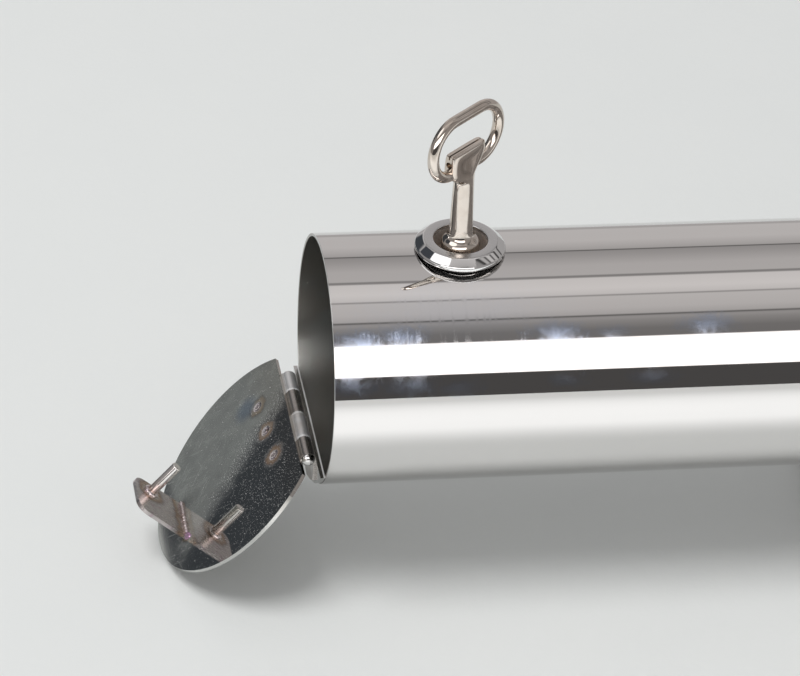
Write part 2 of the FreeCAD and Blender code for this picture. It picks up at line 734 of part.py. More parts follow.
def make_lock_spindle():
    """Turning core: triangular drive, collar, journal and a square end for the cam."""
    body = new_body("lock_spindle")
    half = sketch_on(body, "XZ_Plane")
    outline(half, [
        ("0", "-drive_level"), ("0", "-shoulder_level"), ("spindle_radius", "-shoulder_level"),
        ("spindle_radius", "-collar_level"), ("collar_radius", "-collar_level"),
        ("collar_radius", "-drive_level"),
    ])
    revolve(body, half)
    drive = sketch_on(body, "XY_Plane", "-drive_level", "key_turn")
    polygon(drive, "triangle", "drive_corner")
    pad(body, drive, "drive_height")
    square = sketch_on(body, "XY_Plane", "-shoulder_level")
    rectangle(square, "-half_square", "half_square", "-half_square", "half_square")
    pad(body, square, "shank_length", backwards=True)
    hole = sketch_on(body, "XY_Plane", "-shank_level")
    circle(hole, "screw_bore")
    cut(body, hole, "screw_hole_depth", forwards=True)
    place(body, "lock_x", "0", "lock_top_z")


def make_lock_cam():
    """Hook cam: its curved slot swings over the latch pin in a quarter turn."""
    body = new_body("lock_cam")
    hub = sketch_on(body, "XY_Plane", "-shoulder_level")
    circle(hub, "cam_hub_diameter")
    pad(body, hub, "cam_thickness", backwards=True)
    arm = sketch_on(body, "XY_Plane", "-shoulder_level")
    rectangle(arm, "-cam_half_width", "cam_half_width", "0", "cam_tip")
    pad(body, arm, "cam_thickness", backwards=True)
    outside = sketch_on(body, "XY_Plane", "-shoulder_level")
    rectangle(outside, "-cam_trim_span", "cam_trim_span", "-cam_trim_span", "cam_trim_span")
    circle(outside, "cam_tip_diameter")
    cut(body, outside)
    seat = sketch_on(body, "XY_Plane", "-shoulder_level")
    circle(seat, "hook_slot_width", "0", "hook_radius")
    cut(body, seat)
    doc.recompute()
    before = body.Shape.Volume
    slot = sketch_on(body, "YZ_Plane")
    rectangle(slot, "hook_inner", "hook_outer", "-cam_level", "-shoulder_level")
    sweep = body.newObject("PartDesign::Groove", "Groove")
    sweep.Profile = slot
    sweep.ReferenceAxis = (slot, ["V_Axis"])
    sweep.setExpression("Angle", ref("hook_sweep"))
    doc.recompute()
    require_less(body, before)
    square = sketch_on(body, "XY_Plane", "-shoulder_level")
    rectangle(square, "-half_square_hole", "half_square_hole", "-half_square_hole", "half_square_hole")
    cut(body, square)
    place(body, "lock_x", "0", "lock_top_z")


def make_cam_washer():
    """Washer under the cam."""
    body = new_body("cam_washer")
    ring = sketch_on(body, "XY_Plane", "-cam_level")
    circle(ring, "washer_diameter")
    circle(ring, "screw_bore")
    pad(body, ring, "washer_thickness", backwards=True)
    place(body, "lock_x", "0", "lock_top_z")


def make_cam_screw():
    """Hexagon screw that holds the cam on the spindle."""
    body = new_body("cam_screw")
    head = sketch_on(body, "XY_Plane", "-washer_level")
    polygon(head, "hexagon", "screw_head_corner")
    pad(body, head, "screw_head_height", backwards=True)
    shank = sketch_on(body, "XY_Plane", "-washer_level")
    circle(shank, "screw_diameter")
    pad(body, shank, "screw_length")
    place(body, "lock_x", "0", "lock_top_z")


def make_key_stem():
    """Key stem: bell with a triangular socket, tapered shaft and a flattened head round the ring."""
    body = new_body("key_stem")
    bell = sketch_on(body, "XY_Plane", "-bell_level")
    circle(bell, "bell_diameter")
    pad(body, bell, "bell_height")
    brim = value("bell_top") - TOLERANCE
    rim = value("bell_radius")
    round_edges(body, "bell_round", lambda edge: is_circle(edge, rim) and edge.BoundBox.ZMin > brim)
    foot = sketch_on(body, "XY_Plane", "bell_top")
    round_slot(foot, "stem_base_width", "stem_base_diameter")
    neck = sketch_on(body, "XY_Plane", "fan_base")
    round_slot(neck, "stem_top_width", "stem_top_diameter")
    loft(body, [foot, neck])
    root = value("stem_base_diameter") + TOLERANCE
    round_edges(body, "bell_flare", lambda edge: lies_at(edge, "bell_top") and edge.BoundBox.YLength < root)
    waist = sketch_on(body, "XY_Plane", "ring_bar_height")
    round_slot(waist, "fan_waist_width", "fan_waist_thickness")
    shoulder = sketch_on(body, "XY_Plane", "fan_shoulder")
    round_slot(shoulder, "fan_top_width", "fan_shoulder_thickness")
    top = sketch_on(body, "XY_Plane", "fan_top")
    round_slot(top, "fan_top_width", "fan_top_thickness")
    loft(body, [neck, waist, shoulder, top])
    groove = sketch_on(body, "YZ_Plane")
    rectangle(groove, "-fan_groove_half", "fan_groove_half", "fan_groove_floor", "fan_top")
    cut(body, groove, symmetric=True)
    hole = sketch_on(body, "YZ_Plane")
    circle(hole, "ring_hole", "0", "ring_bar_height")
    cut(body, hole, symmetric=True)
    socket = sketch_on(body, "XY_Plane", "-bell_level")
    polygon(socket, "triangle", "socket_corner")
    cut(body, socket, "socket_depth", forwards=True)
    place_key(body)


def make_key_ring():
    """Oval wire ring through the head of the key."""
    body = new_body("key_ring")
    path = sketch_on(body, "XZ_Plane")
    low = value("ring_bar_height")
    high = value("ring_top")
    middle = value("ring_middle")
    right = value("ring_straight")
    left = -right
    bend = value("ring_bend")
    start = Vector(0, low, 0)
    low_right = Vector(right, low, 0)
    high_right = Vector(right, high, 0)
    high_left = Vector(left, high, 0)
    low_left = Vector(left, low, 0)
    runs = [
        Part.LineSegment(start, low_right),
        Part.Arc(low_right, Vector(right + bend, middle, 0), high_right),
        Part.LineSegment(high_right, high_left),
        Part.Arc(high_left, Vector(left - bend, middle, 0), low_left),
        Part.LineSegment(low_left, start),
    ]
    first, right_bend, upper, left_bend, last = [path.addGeometry(run) for run in runs]
    fix_point(path, first, 1, "0", "ring_bar_height")
    path.addConstraint(Sketcher.Constraint("Coincident", last, 2, first, 1))
    path.addConstraint(Sketcher.Constraint("Horizontal", first))
    path.addConstraint(Sketcher.Constraint("Horizontal", last))
    for one, other in ((first, right_bend), (right_bend, upper), (upper, left_bend), (left_bend, last)):
        path.addConstraint(Sketcher.Constraint("Tangent", one, 2, other, 1))
    fix_point(path, right_bend, 3, "ring_straight", "ring_middle")
    bind(path, "DistanceX", (*ORIGIN_POINT, left_bend, 3), "-ring_straight")
    wire = sketch_on(body, "YZ_Plane")
    circle(wire, "ring_wire", "0", "ring_bar_height")
    doc.recompute()
    sweep = body.newObject("PartDesign::AdditivePipe", "Sweep")
    sweep.Profile = wire
    sweep.Spine = (path, [f"Edge{index}" for index in range(1, len(runs) + 1)])
    place_key(body)


def check_document():
    """Stop where an object failed or a sub-part has no valid solid."""
    for item in doc.Objects:
        if "Invalid" in item.State or "Error" in item.State:
            raise RuntimeError(f"{item.Label} ({item.Name}) failed: {item.State}")
    for body in subparts:
        if body.Shape.isNull() or not body.Shape.isValid() or not body.Shape.Solids:
            raise RuntimeError(f"{body.Label} has no valid solid")


def write_parts():
    """Write one file per sub-part and print its volume."""
    os.makedirs("parts", exist_ok=True)
    for body in subparts:
        body.Shape.exportStep(f"parts/{body.Label}.step")
        print(f"{body.Label}: {len(body.Shape.Solids)} solid, {body.Shape.Volume:.1f} mm3")


make_tube()
make_slot_cap()
make_wall_plate()
make_post("lower_standoff_post", "-post_x")
make_post("upper_standoff_post", "post_x")
make_hinge_segment()
make_fixed_leaf()
make_hinge_pin()
make_flap()
make_flap_leaf()
make_latch_tongue()
make_latch_pin()
make_tongue_weld()
make_spot_welds()
make_lock_housing()
make_lock_gasket()
make_lock_saddle()
make_lock_nut()
make_lock_spindle()
make_lock_cam()
make_cam_washer()
make_cam_screw()
make_key_stem()
make_key_ring()
doc.recompute()
check_document()
write_parts()
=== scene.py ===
"""Looks of the tubular donation box: polished tube, dusty flap, weld tints, chrome lock and worn key.

Metres, in the frame of the solids: the wall face lies at z = 0, +X runs along the tube from the flap to
the coin slot and the lock points up. Patterns are measured in millimetres.
"""
import json
import math

import bmesh
import bpy
from mathutils import Matrix, Vector


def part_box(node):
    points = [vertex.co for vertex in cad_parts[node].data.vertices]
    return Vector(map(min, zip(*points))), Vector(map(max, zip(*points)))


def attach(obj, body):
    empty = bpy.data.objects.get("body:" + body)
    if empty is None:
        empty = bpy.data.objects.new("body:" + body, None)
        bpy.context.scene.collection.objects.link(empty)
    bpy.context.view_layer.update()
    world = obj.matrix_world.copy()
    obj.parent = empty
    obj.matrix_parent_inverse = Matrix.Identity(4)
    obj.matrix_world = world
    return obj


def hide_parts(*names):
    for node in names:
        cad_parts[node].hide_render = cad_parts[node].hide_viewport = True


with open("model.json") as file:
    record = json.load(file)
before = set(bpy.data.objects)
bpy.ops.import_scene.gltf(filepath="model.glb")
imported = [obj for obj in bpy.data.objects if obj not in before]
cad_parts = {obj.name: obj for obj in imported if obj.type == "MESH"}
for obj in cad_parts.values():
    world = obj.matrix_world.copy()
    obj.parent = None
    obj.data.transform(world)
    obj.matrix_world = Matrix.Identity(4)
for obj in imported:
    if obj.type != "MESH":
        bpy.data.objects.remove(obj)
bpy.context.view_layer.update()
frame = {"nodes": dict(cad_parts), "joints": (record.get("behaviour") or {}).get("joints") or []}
nodes = frame["nodes"]
joints = {joint["name"]: joint for joint in frame["joints"]}

MM = 0.001
MERGE_DISTANCE = 0.001 * MM

# Places of the pieces, read from the solids
tube_low, tube_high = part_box("tube")
TUBE_RADIUS = (tube_high.z - tube_low.z) / 2
TUBE_AXIS_Z = (tube_high.z + tube_low.z) / 2
TUBE_LENGTH = tube_high.x - tube_low.x
MOUTH = Vector((tube_low.x, 0, TUBE_AXIS_Z))
HINGE = Vector(joints["flap_hinge"]["pos_m"])
OPEN_ANGLE = math.radians(joints["flap_hinge"]["range_deg"][1])
ON_FLAP = (HINGE, -OPEN_ANGLE)
LOCK = Vector(joints["lock_turn"]["pos_m"])
housing_low, housing_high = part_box("lock_housing")
FLANGE_RADIUS = (housing_high.x - housing_low.x) / 2
HOUSING_DEPTH = housing_high.z - housing_low.z
PLATE_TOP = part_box("wall_plate")[1].z
POST_BOXES = {name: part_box(name) for name in ("lower_standoff_post", "upper_standoff_post")}

# Tube
TUBE_WALL = 1.0 * MM
RIM_ROUND = 0.15 * MM
LOCK_HOLE_RADIUS = 11.25 * MM
# Marks as (millimetres from the mouth, degrees up from the side, reach in millimetres, strength)
FINGER_MARKS = [
    (6, 21.5, 5, 0.85), (23, 21, 5, 0.8), (38, 19, 4, 0.5), (8, 42, 5, 1.0), (20, 43, 5, 1.0),
    (67, 42.5, 5.5, 0.9), (84, 42, 3.5, 0.6), (70, 21, 3.5, 0.5), (96, 21, 4, 0.6), (113, 44, 5, 0.9),
]
RUBBED_PATCH = (36, 52, 18, 1.0)

# Flap and latch, measured from the hinge axis with the flap closed: x inwards, z up the flap
FLAP_FACE = 3.7 * MM
TONGUE_RISE = 49.4 * MM
TONGUE_HALF_THICKNESS = 0.6 * MM
TONGUE_NEAR_Y = -10.2 * MM
TONGUE_FAR_Y = 6.8 * MM
LATCH_PIN_X = 16.9 * MM
LATCH_PIN_Y = 2.4 * MM
LATCH_PIN_RADIUS = 1.6 * MM
LATCH_PIN_LENGTH = 12.2 * MM
LATCH_TIP_ROUND = 0.35 * MM
SPOT_PLACES = [(-10.8 * MM, 9.5 * MM), (3.0 * MM, 10.5 * MM), (16.8 * MM, 11.5 * MM)]
SPOT_RADIUS = 1.8 * MM
SPOT_HEIGHT = 0.25 * MM
BLUE_BLOOM = (FLAP_FACE / MM, 20.6, 16.1)
HINGE_PIN_RADIUS = 1.45 * MM
PIN_HEAD_RADIUS = 2.1 * MM
PIN_HEAD_HEIGHT = 1.5 * MM
KNUCKLE_JOINTS = (-11.2, 1.2, 13.6)

# Weld beads: where they sit, their radii, and (pitch, depth) of their ripples
WELD_SEAT = 0.25 * MM
SEAM_BEAD = 0.65 * MM
CRATER_BEAD = 0.95 * MM
CRATER_REACH = (0.4 * MM, -0.3 * MM)
COLLAR_BEAD = 0.6 * MM
COLLAR_GAP = 0.2 * MM
COLLAR_RISE = 0.1 * MM
POST_BEAD = 1.5 * MM
SEAM_RIPPLES = (1.4 * MM, 0.45)
POST_RIPPLES = (3.0 * MM, 0.3)

# Lock, measured down from its top face
FLANGE_TOP_RADIUS = 11.2 * MM
FLANGE_RIM_LEVEL = 2.0 * MM
FLANGE_DEPTH = 3.2 * MM
RECESS_RADIUS = 8.2 * MM
RECESS_DEPTH = 12.0 * MM
BEARING_RADIUS = 5.05 * MM
HOUSING_RADIUS = 11.0 * MM
THREAD_DEPTH = 0.5 * MM
THREAD_PITCH = 1.5 * MM
PLAIN_NECK = 6.0 * MM
LIP_ROUND = 0.35 * MM
FLANGE_TOP_ROUND = 0.45 * MM
FLANGE_RIM_ROUND = 0.5 * MM
RECESS_FLOOR_ROUND = 0.3 * MM

# Key: its lean and turn in the lock, and its sections in millimetres as
# (height, left, right, half thickness, squareness)
KEY_LEAN = math.radians(1.3)
KEY_TURN = math.radians(41.0)
KEY_PIVOT = 4.0 * MM
KEY_SECTIONS = [
    (-9.5, -5.9, 5.9, 5.9, 2), (-1.3, -5.9, 5.9, 5.9, 2), (-0.7, -5.82, 5.82, 5.82, 2),
    (-0.2, -5.6, 5.6, 5.6, 2), (0.2, -5.3, 5.3, 5.3, 2), (0.55, -4.9, 4.9, 4.9, 2),
    (0.85, -4.5, 4.5, 4.5, 2), (1.25, -4.15, 4.15, 4.1, 2), (1.8, -3.9, 3.9, 3.8, 2),
    (2.6, -3.72, 3.72, 3.6, 2), (3.8, -3.62, 3.62, 3.5, 2), (6.0, -3.58, 3.58, 3.42, 2),
    (12.0, -3.45, 3.45, 3.25, 2), (18.0, -3.32, 3.32, 3.08, 2), (20.2, -3.28, 3.28, 3.02, 2),
    (21.2, -3.5, 3.28, 2.98, 2.1), (22.0, -4.2, 3.3, 2.9, 2.3), (22.7, -5.4, 3.4, 2.75, 2.7),
    (23.3, -6.5, 3.6, 2.6, 3.2), (24.0, -7.1, 3.95, 2.48, 4), (25.0, -7.4, 4.6, 2.38, 5),
    (26.2, -7.5, 5.4, 2.3, 6), (27.5, -7.5, 6.3, 2.22, 7), (28.7, -7.5, 7.0, 2.16, 7),
    (29.6, -7.5, 7.4, 2.1, 7), (30.4, -7.5, 7.5, 2.0, 7), (31.4, -7.48, 7.48, 1.8, 7),
    (31.8, -7.4, 7.4, 1.65, 7), (32.0, -7.2, 7.2, 1.4, 6),
]
KEY_FOOT = -9.5 * MM
SEAM_STEP = 53
SEAM_SPAN = (1.5, 21.0)
SEAM_DEPTH = 0.90
SOCKET_RADIUS = 5.2 * MM
SOCKET_DEPTH = 6.3 * MM
HEAD_REACH = 9.0 * MM
FOLD_HALF = 0.25 * MM
FOLD_FLOOR = 30.8 * MM
CURL_HEIGHT = 28.9 * MM
CURL_RADIUS = 1.05 * MM
CURL_DEPTH = 4.0 * MM

# Flat sides that stand for a full turn, and the corners of a square
TUBE_STEPS = 256
LOCK_STEPS = 128
KEY_STEPS = 120
DRILL_STEPS = 96
ROD_STEPS = 64
WELD_STEPS = 24
CURL_STEPS = 24
DOME_STEPS = 8
SOCKET_SIDES = 3
SQUARE = ((-1, -1), (1, -1), (1, 1), (-1, 1))

# Colours of dirt, wear and oxide, and of painted highlights and reflections
GREASE = (0.565, 0.65, 0.82)
WORN_EDGE_HIGHLIGHT = (0.95, 0.95, 0.95)
STAIN_TONE = (0.80, 0.74, 0.68)
BORE_STAIN = (0.29, 0.26, 0.23)
BORE_DUST = (0.55, 0.55, 0.53)
FLAP_DUST = (0.80, 0.79, 0.77)
FLAP_FILM_AND_REFLECTION = (0.46, 0.52, 0.45)
SCRATCHED = (0.74, 0.74, 0.73)
STRAW_TINT = (0.44, 0.35, 0.27)
BLUE_TINT = (0.22, 0.30, 0.44)
WARM_ROD = (0.60, 0.49, 0.45)
RECESS_GRIME_AND_REFLECTION = (0.74, 0.64, 0.57)
LOCK_SPECKS = (0.22, 0.20, 0.18)
KEY_SPECKS = (0.30, 0.25, 0.20)
MATT_DUST = (0.30, 0.29, 0.27)
TONGUE_SHADES = [
    (0.30, (0.40, 0.33, 0.32)), (0.44, (0.55, 0.51, 0.50)), (0.56, (0.50, 0.46, 0.46)),
    (0.70, (0.44, 0.35, 0.38)),
]
HEAT_SHADES = [
    (0.0, (0.58, 0.52, 0.51)), (0.30, (0.47, 0.42, 0.38)), (0.46, (0.40, 0.29, 0.21)),
    (0.60, (0.28, 0.18, 0.12)), (0.74, (0.20, 0.165, 0.16)), (1.0, (0.36, 0.38, 0.42)),
]

# Camera, at the angle of the photograph
IMAGE_WIDTH_PX = 800
FOCAL_LENGTH_PX = 4304
SENSOR_WIDTH = 36.0
CAMERA_AIM = MOUTH + Vector((25.4 * MM, -0.5 * MM, 6.75 * MM))
CAMERA_DISTANCE = 1302.1 * MM
CAMERA_AZIMUTH = math.radians(-11.47)
CAMERA_ELEVATION = math.radians(33.96)
CAMERA_ROLL = math.radians(4.44)

# Room that the metal mirrors: angle from the window side over the ceiling to the back, and brightness
ROOM_BANDS = [
    (-180, 0.45), (-30, 0.20), (-6, 0.08), (15.5, 0.08), (17, 3.20), (43, 3.20), (44.5, 0.20), (52, 0.21),
    (60, 0.32), (63.2, 0.40), (63.8, 0.12), (64.9, 0.14), (65.6, 0.48), (72, 0.58), (83.6, 0.62),
    (84.2, 0.34), (84.8, 0.35), (85.4, 0.68), (92, 0.77), (103.6, 0.72), (104.3, 0.10), (105.2, 0.12),
    (106, 0.54), (118, 0.53), (131, 0.40), (136.4, 0.36), (137, 0.10), (138.2, 0.12), (139, 0.46),
    (145, 0.53), (154, 0.61), (180, 0.58),
]
LEFT_WALL = [(-180, 0.30)]
RIGHT_WALL = [
    (-180, 0.40), (66, 0.34), (73, 0.30), (75, 0.05), (78, 0.05), (79, 0.50), (84, 0.50), (85, 0.08),
    (88, 0.08), (89, 0.62), (97, 0.62), (98, 0.14), (103, 0.14), (104, 0.55), (114, 0.50), (116, 0.06),
    (122, 0.06), (124, 0.45), (136, 0.42), (138, 0.08), (142, 0.08), (144, 0.42), (180, 0.40),
]
LEFT_WALL_SPAN = (0.74, 0.80)
RIGHT_WALL_SPAN = (0.40, 0.44)
ROOM_TINT = (1.03, 0.985, 0.975)
# Round patches of the room as (direction, span from its edge to its full level, level): two dark, one bright
ROOM_PATCHES = [
    (Vector((-0.60, 0.79, 0.10)).normalized(), (0.90, 0.95), (0.056, 0.062, 0.070)),
    (Vector((-0.68, 0.37, 0.63)).normalized(), (0.962, 0.972), (0.06, 0.065, 0.075)),
    (Vector((-0.52, -0.07, 0.85)).normalized(), (0.950, 0.958), (1.7, 1.7, 1.72)),
]
SOFT_LIGHT_LEVEL = (0.48, 0.485, 0.49)
BACKGROUND_LEVEL = (0.70, 0.71, 0.705)
LAMP_PLACE = Vector((MOUTH.x - 1.15, -0.55, 2.9))
LAMP_SIZE = 1.5
LAMP_POWER = 54.0

# Table: its fading edge, the part the metal mirrors and the painted sheen under the window, in millimetres
TABLE_HALF_SIZE = 3.0
TABLE_FADE = (2600.0, 700.0)
MIRRORED_TABLE = (-1000.0, 750.0)
SHEEN_RISE = (-70.0, -135.0)
SHEEN_FALL = (-560.0, -160.0)
SHEEN_LEVEL = 0.50


def set_input(socket, value):
    """Link a socket to another one, or give it a value."""
    if isinstance(value, bpy.types.NodeSocket):
        socket.id_data.links.new(value, socket)
    elif socket.type == "RGBA":
        socket.default_value = (*value, 1.0)
    else:
        socket.default_value = value


def add(tree, kind, inputs=None, **settings):
    """Add a node, set its properties, then its inputs by name or number."""
    node = tree.nodes.new(kind)
    for name, value in settings.items():
        setattr(node, name, value)
    for name, value in (inputs or {}).items():
        set_input(node.inputs[name], value)
    return node


def made(tree, kind, inputs=None, out=0, **settings):
    """Add a node and give one of its outputs."""
    return add(tree, kind, inputs, **settings).outputs[out]


def tree_of(inputs):
    """Tree that the first linked input comes from."""
    return next(value.id_data for value in inputs.values() if isinstance(value, bpy.types.NodeSocket))


def linked(kind, inputs, out=0, **settings):
    """Add a node to the tree of its inputs and give one of its outputs."""
    return made(tree_of(inputs), kind, inputs, out, **settings)


def calc(operation, *values):
    """Arithmetic on numbers or sockets."""
    return linked("ShaderNodeMath", dict(enumerate(values)), operation=operation)


def times(product, *factors):
    """Product of numbers or sockets."""
    for factor in factors:
        product = calc("MULTIPLY", product, factor)
    return product


def minus(first, second):
    return calc("SUBTRACT", first, second)


def apart(value, place):
    """How far a value is from a place."""
    return calc("ABSOLUTE", minus(value, place))


def scale_add(value, factor, base):
    return calc("MULTIPLY_ADD", value, factor, base)


def largest(masks):
    """Join masks by their highest value."""
    joined = 0.0
    for mask in masks:
        joined = calc("MAXIMUM", mask, joined)
    return joined


def spread(value, low, high, start=0.0, end=1.0):
    """Soft step of a value between two limits."""
    inputs = {"Value": value, "From Min": low, "From Max": high, "To Min": start, "To Max": end}
    return linked("ShaderNodeMapRange", inputs, interpolation_type="SMOOTHSTEP")


def mix(factor, first, second):
    """Blend two colours."""
    return linked("ShaderNodeMix", {0: factor, 6: first, 7: second}, 2, data_type="RGBA")


def tint(colour, mask, strength, second):
    """Colour with a second one over it where a mask is, up to a strength."""
    return mix(times(mask, strength), colour, second)


def vector_calc(operation, first, second, out="Vector"):
    return linked("ShaderNodeVectorMath", {0: first, 1: second}, out, operation=operation)


def distance_between(first, second):
    return vector_calc("DISTANCE", first, second, "Value")


def axes_of(vector):
    """X, Y and Z of a vector."""
    return add(vector.id_data, "ShaderNodeSeparateXYZ", {0: vector}).outputs


def noise(vector, scale, detail=3.0, roughness=0.6, distortion=0.0):
    inputs = {"Vector": vector, "Scale": scale, "Detail": detail, "Roughness": roughness}
    inputs["Distortion"] = distortion
    return linked("ShaderNodeTexNoise", inputs)


def ramp(value, stops):
    """Colour ramp of (place, colour) stops."""
    node = add(value.id_data, "ShaderNodeValToRGB", {"Fac": value})
    elements = node.color_ramp.elements
    elements.remove(elements[-1])
    for index, (place, colour) in enumerate(stops):
        element = elements[0] if index == 0 else elements.new(place)
        element.position = place
        element.color = (*colour, 1.0)
    return node.outputs["Color"]


def bump(height, strength, distance=0.1):
    """Normal over a height; the distance is in millimetres."""
    return linked("ShaderNodeBump", {"Height": height, "Strength": strength, "Distance": distance * MM})


def local_mm(tree, origin, turn):
    """Object coordinates in millimetres from a place on the piece, along axes turned about Y."""
    where = made(tree, "ShaderNodeTexCoord", out="Object")
    inputs = {"Vector": where, "Location": origin, "Rotation": (0, turn, 0), "Scale": (MM, MM, MM)}
    return made(tree, "ShaderNodeMapping", inputs, vector_type="TEXTURE")


def new_group(name, inputs, outputs):
    """Shader group with named sockets; gives the group, its inputs and its output node."""
    group = bpy.data.node_groups.new(name, "ShaderNodeTree")
    for socket, (kind, value) in inputs.items():
        item = group.interface.new_socket(name=socket, in_out="INPUT", socket_type=f"NodeSocket{kind}")
        item.default_value = value
    for socket, kind in outputs.items():
        group.interface.new_socket(name=socket, in_out="OUTPUT", socket_type=f"NodeSocket{kind}")
    entry = group.nodes.new("NodeGroupInput")
    leave = group.nodes.new("NodeGroupOutput")
    return group, entry.outputs, leave


def use(group, inputs):
    """Place a shader group in a material and give its outputs."""
    return add(tree_of(inputs), "ShaderNodeGroup", inputs, node_tree=group).outputs


PLACE = ("Vector", (0, 0, 0))


def make_hairlines():
    """Fine parallel lines left by polishing or brushing; Lines is how fast they change along each axis."""
    inputs = {"Vector": PLACE, "Lines": ("Vector", (1, 1, 1))}
    group, entry, leave = new_group("hairlines", inputs, {"Height": "Float"})
    stretched = vector_calc("MULTIPLY", entry["Vector"], entry["Lines"])
    set_input(leave.inputs["Height"], noise(stretched, 1.0, detail=4.0, roughness=0.7))
    return group


def make_smudges():
    """Soft patches of haze; Size is in millimetres and Cover is the share of the surface."""
    inputs = {"Vector": PLACE, "Size": ("Float", 10.0), "Cover": ("Float", 0.3)}
    group, entry, leave = new_group("smudges", inputs, {"Mask": "Float"})
    scale = calc("DIVIDE", 1.0, entry["Size"])
    cloud = noise(entry["Vector"], scale, detail=4.0, distortion=0.5)
    middle = scale_add(entry["Cover"], -0.4, 0.7)
    mask = spread(cloud, minus(middle, 0.09), calc("ADD", middle, 0.09))
    set_input(leave.inputs["Mask"], mask)
    return group


def make_specks(name, dimensions):
    """Scattered round specks, flat on X and Y or in space.

    Share of the places hold one, and Radius is in parts of the Spacing.
    """
    inputs = {"Vector": PLACE, "Spacing": ("Float", 1.0), "Share": ("Float", 0.3), "Radius": ("Float", 0.2)}
    group, entry, leave = new_group(name, inputs, {"Mask": "Float"})
    inputs = {"Vector": entry["Vector"], "Scale": calc("DIVIDE", 1.0, entry["Spacing"])}
    cells = add(group, "ShaderNodeTexVoronoi", inputs, voronoi_dimensions=dimensions).outputs
    chance = add(group, "ShaderNodeSeparateColor", {0: cells["Color"]}).outputs
    present = calc("LESS_THAN", chance[0], entry["Share"])
    radius = times(entry["Radius"], scale_add(chance[1], 0.8, 0.2))
    inside = spread(cells["Distance"], radius, times(radius, 0.5))
    set_input(leave.inputs["Mask"], times(present, inside))
    return group


def make_scratches():
    """Thin straight scratches in a plane; Axis is its normal, Turn their slant and Lines their fineness."""
    inputs = {
        "Vector": PLACE, "Axis": ("Vector", (1, 0, 0)), "Turn": ("Float", 0.0),
        "Lines": ("Vector", (0, 3, 0.05)), "Share": ("Float", 0.1),
    }
    group, entry, leave = new_group("scratches", inputs, {"Mask": "Float"})
    inputs = {"Vector": entry["Vector"], "Axis": entry["Axis"], "Angle": entry["Turn"]}
    turned = made(group, "ShaderNodeVectorRotate", inputs)
    cloud = noise(vector_calc("MULTIPLY", turned, entry["Lines"]), 1.0, detail=1.0)
    limit = scale_add(entry["Share"], -0.5, 0.8)
    set_input(leave.inputs["Mask"], spread(cloud, limit, calc("ADD", limit, 0.03)))
    return group


def make_heat_tint():
    """Oxide colours round a weld, by distance: pinkish metal, straw, brown, purple and a blue-grey fringe."""
    inputs = {"Distance": ("Float", 0.0), "Reach": ("Float", 5.0)}
    group, entry, leave = new_group("heat_tint", inputs, {"Colour": "Color", "Mask": "Float"})
    share = calc("DIVIDE", entry["Distance"], entry["Reach"])
    set_input(leave.inputs["Colour"], ramp(share, HEAT_SHADES))
    set_input(leave.inputs["Mask"], spread(share, 1.0, 0.55))
    return group


def make_finger_mark():
    """Greasy print round a place, wiped along X: hazy and broken at its edge."""
    inputs = {"Vector": PLACE, "Centre": PLACE, "Reach": ("Float", 10.0)}
    group, entry, leave = new_group("finger_mark", inputs, {"Mask": "Float"})
    wiped = [vector_calc("MULTIPLY", entry[place], (0.36, 1, 1)) for place in ("Vector", "Centre")]
    share = calc("DIVIDE", distance_between(*wiped), entry["Reach"])
    cloud = noise(entry["Vector"], 0.22, detail=5.0, roughness=0.7, distortion=0.8)
    broken = scale_add(cloud, 1.2, -0.7)
    patch = minus(calc("ADD", 1.0, broken), share)
    set_input(leave.inputs["Mask"], spread(patch, 0.0, 0.9))
    return group


hairlines = make_hairlines()
smudges = make_smudges()
specks = make_specks("specks", "3D")
flat_specks = make_specks("flat_specks", "2D")
scratches = make_scratches()
heat_tint = make_heat_tint()
finger_mark = make_finger_mark()


def lines_on(where, lines):
    """Hairlines, by how fast they change along each axis."""
    return use(hairlines, {"Vector": where, "Lines": lines})["Height"]


def haze_on(where, size, cover):
    """Smudges of a size over a share of the surface."""
    return use(smudges, {"Vector": where, "Size": size, "Cover": cover})["Mask"]


def specks_on(where, spacing, share, radius, group=specks):
    """Specks by their spacing, share of places and radius."""
    return use(group, {"Vector": where, "Spacing": spacing, "Share": share, "Radius": radius})["Mask"]


def grease_on(where, along, up, reach, strength):
    """One greasy mark on the outside of the tube."""
    radius = TUBE_RADIUS / MM
    turn = math.radians(up)
    centre = (along, -radius * math.cos(turn), radius * math.sin(turn))
    mark = use(finger_mark, {"Vector": where, "Centre": centre, "Reach": reach})["Mask"]
    return times(mark, strength)


def heat(colour, gap, reach, share):
    """Colour tinted by heat over a gap from a weld, and the mask of the tint."""
    oxide = use(heat_tint, {"Distance": gap, "Reach": reach})
    mask = times(oxide["Mask"], share)
    return mix(mask, colour, oxide["Colour"]), mask


def new_material(name, origin=(0, 0, 0), turn=0.0):
    """Material with its shader, and its places in millimetres."""
    material = bpy.data.materials.new(name)
    material.use_nodes = True
    return material, local_mm(material.node_tree, origin, turn)


def shade(material, colour, roughness, metallic=1.0, normal=None, others=None):
    """Feed the surface shader and give the material."""
    inputs = {"Base Color": colour, "Metallic": metallic, "Roughness": roughness, **(others or {})}
    if normal is not None:
        inputs["Normal"] = normal
    tree = material.node_tree
    for name, value in inputs.items():
        set_input(tree.nodes["Principled BSDF"].inputs[name], value)
    return material


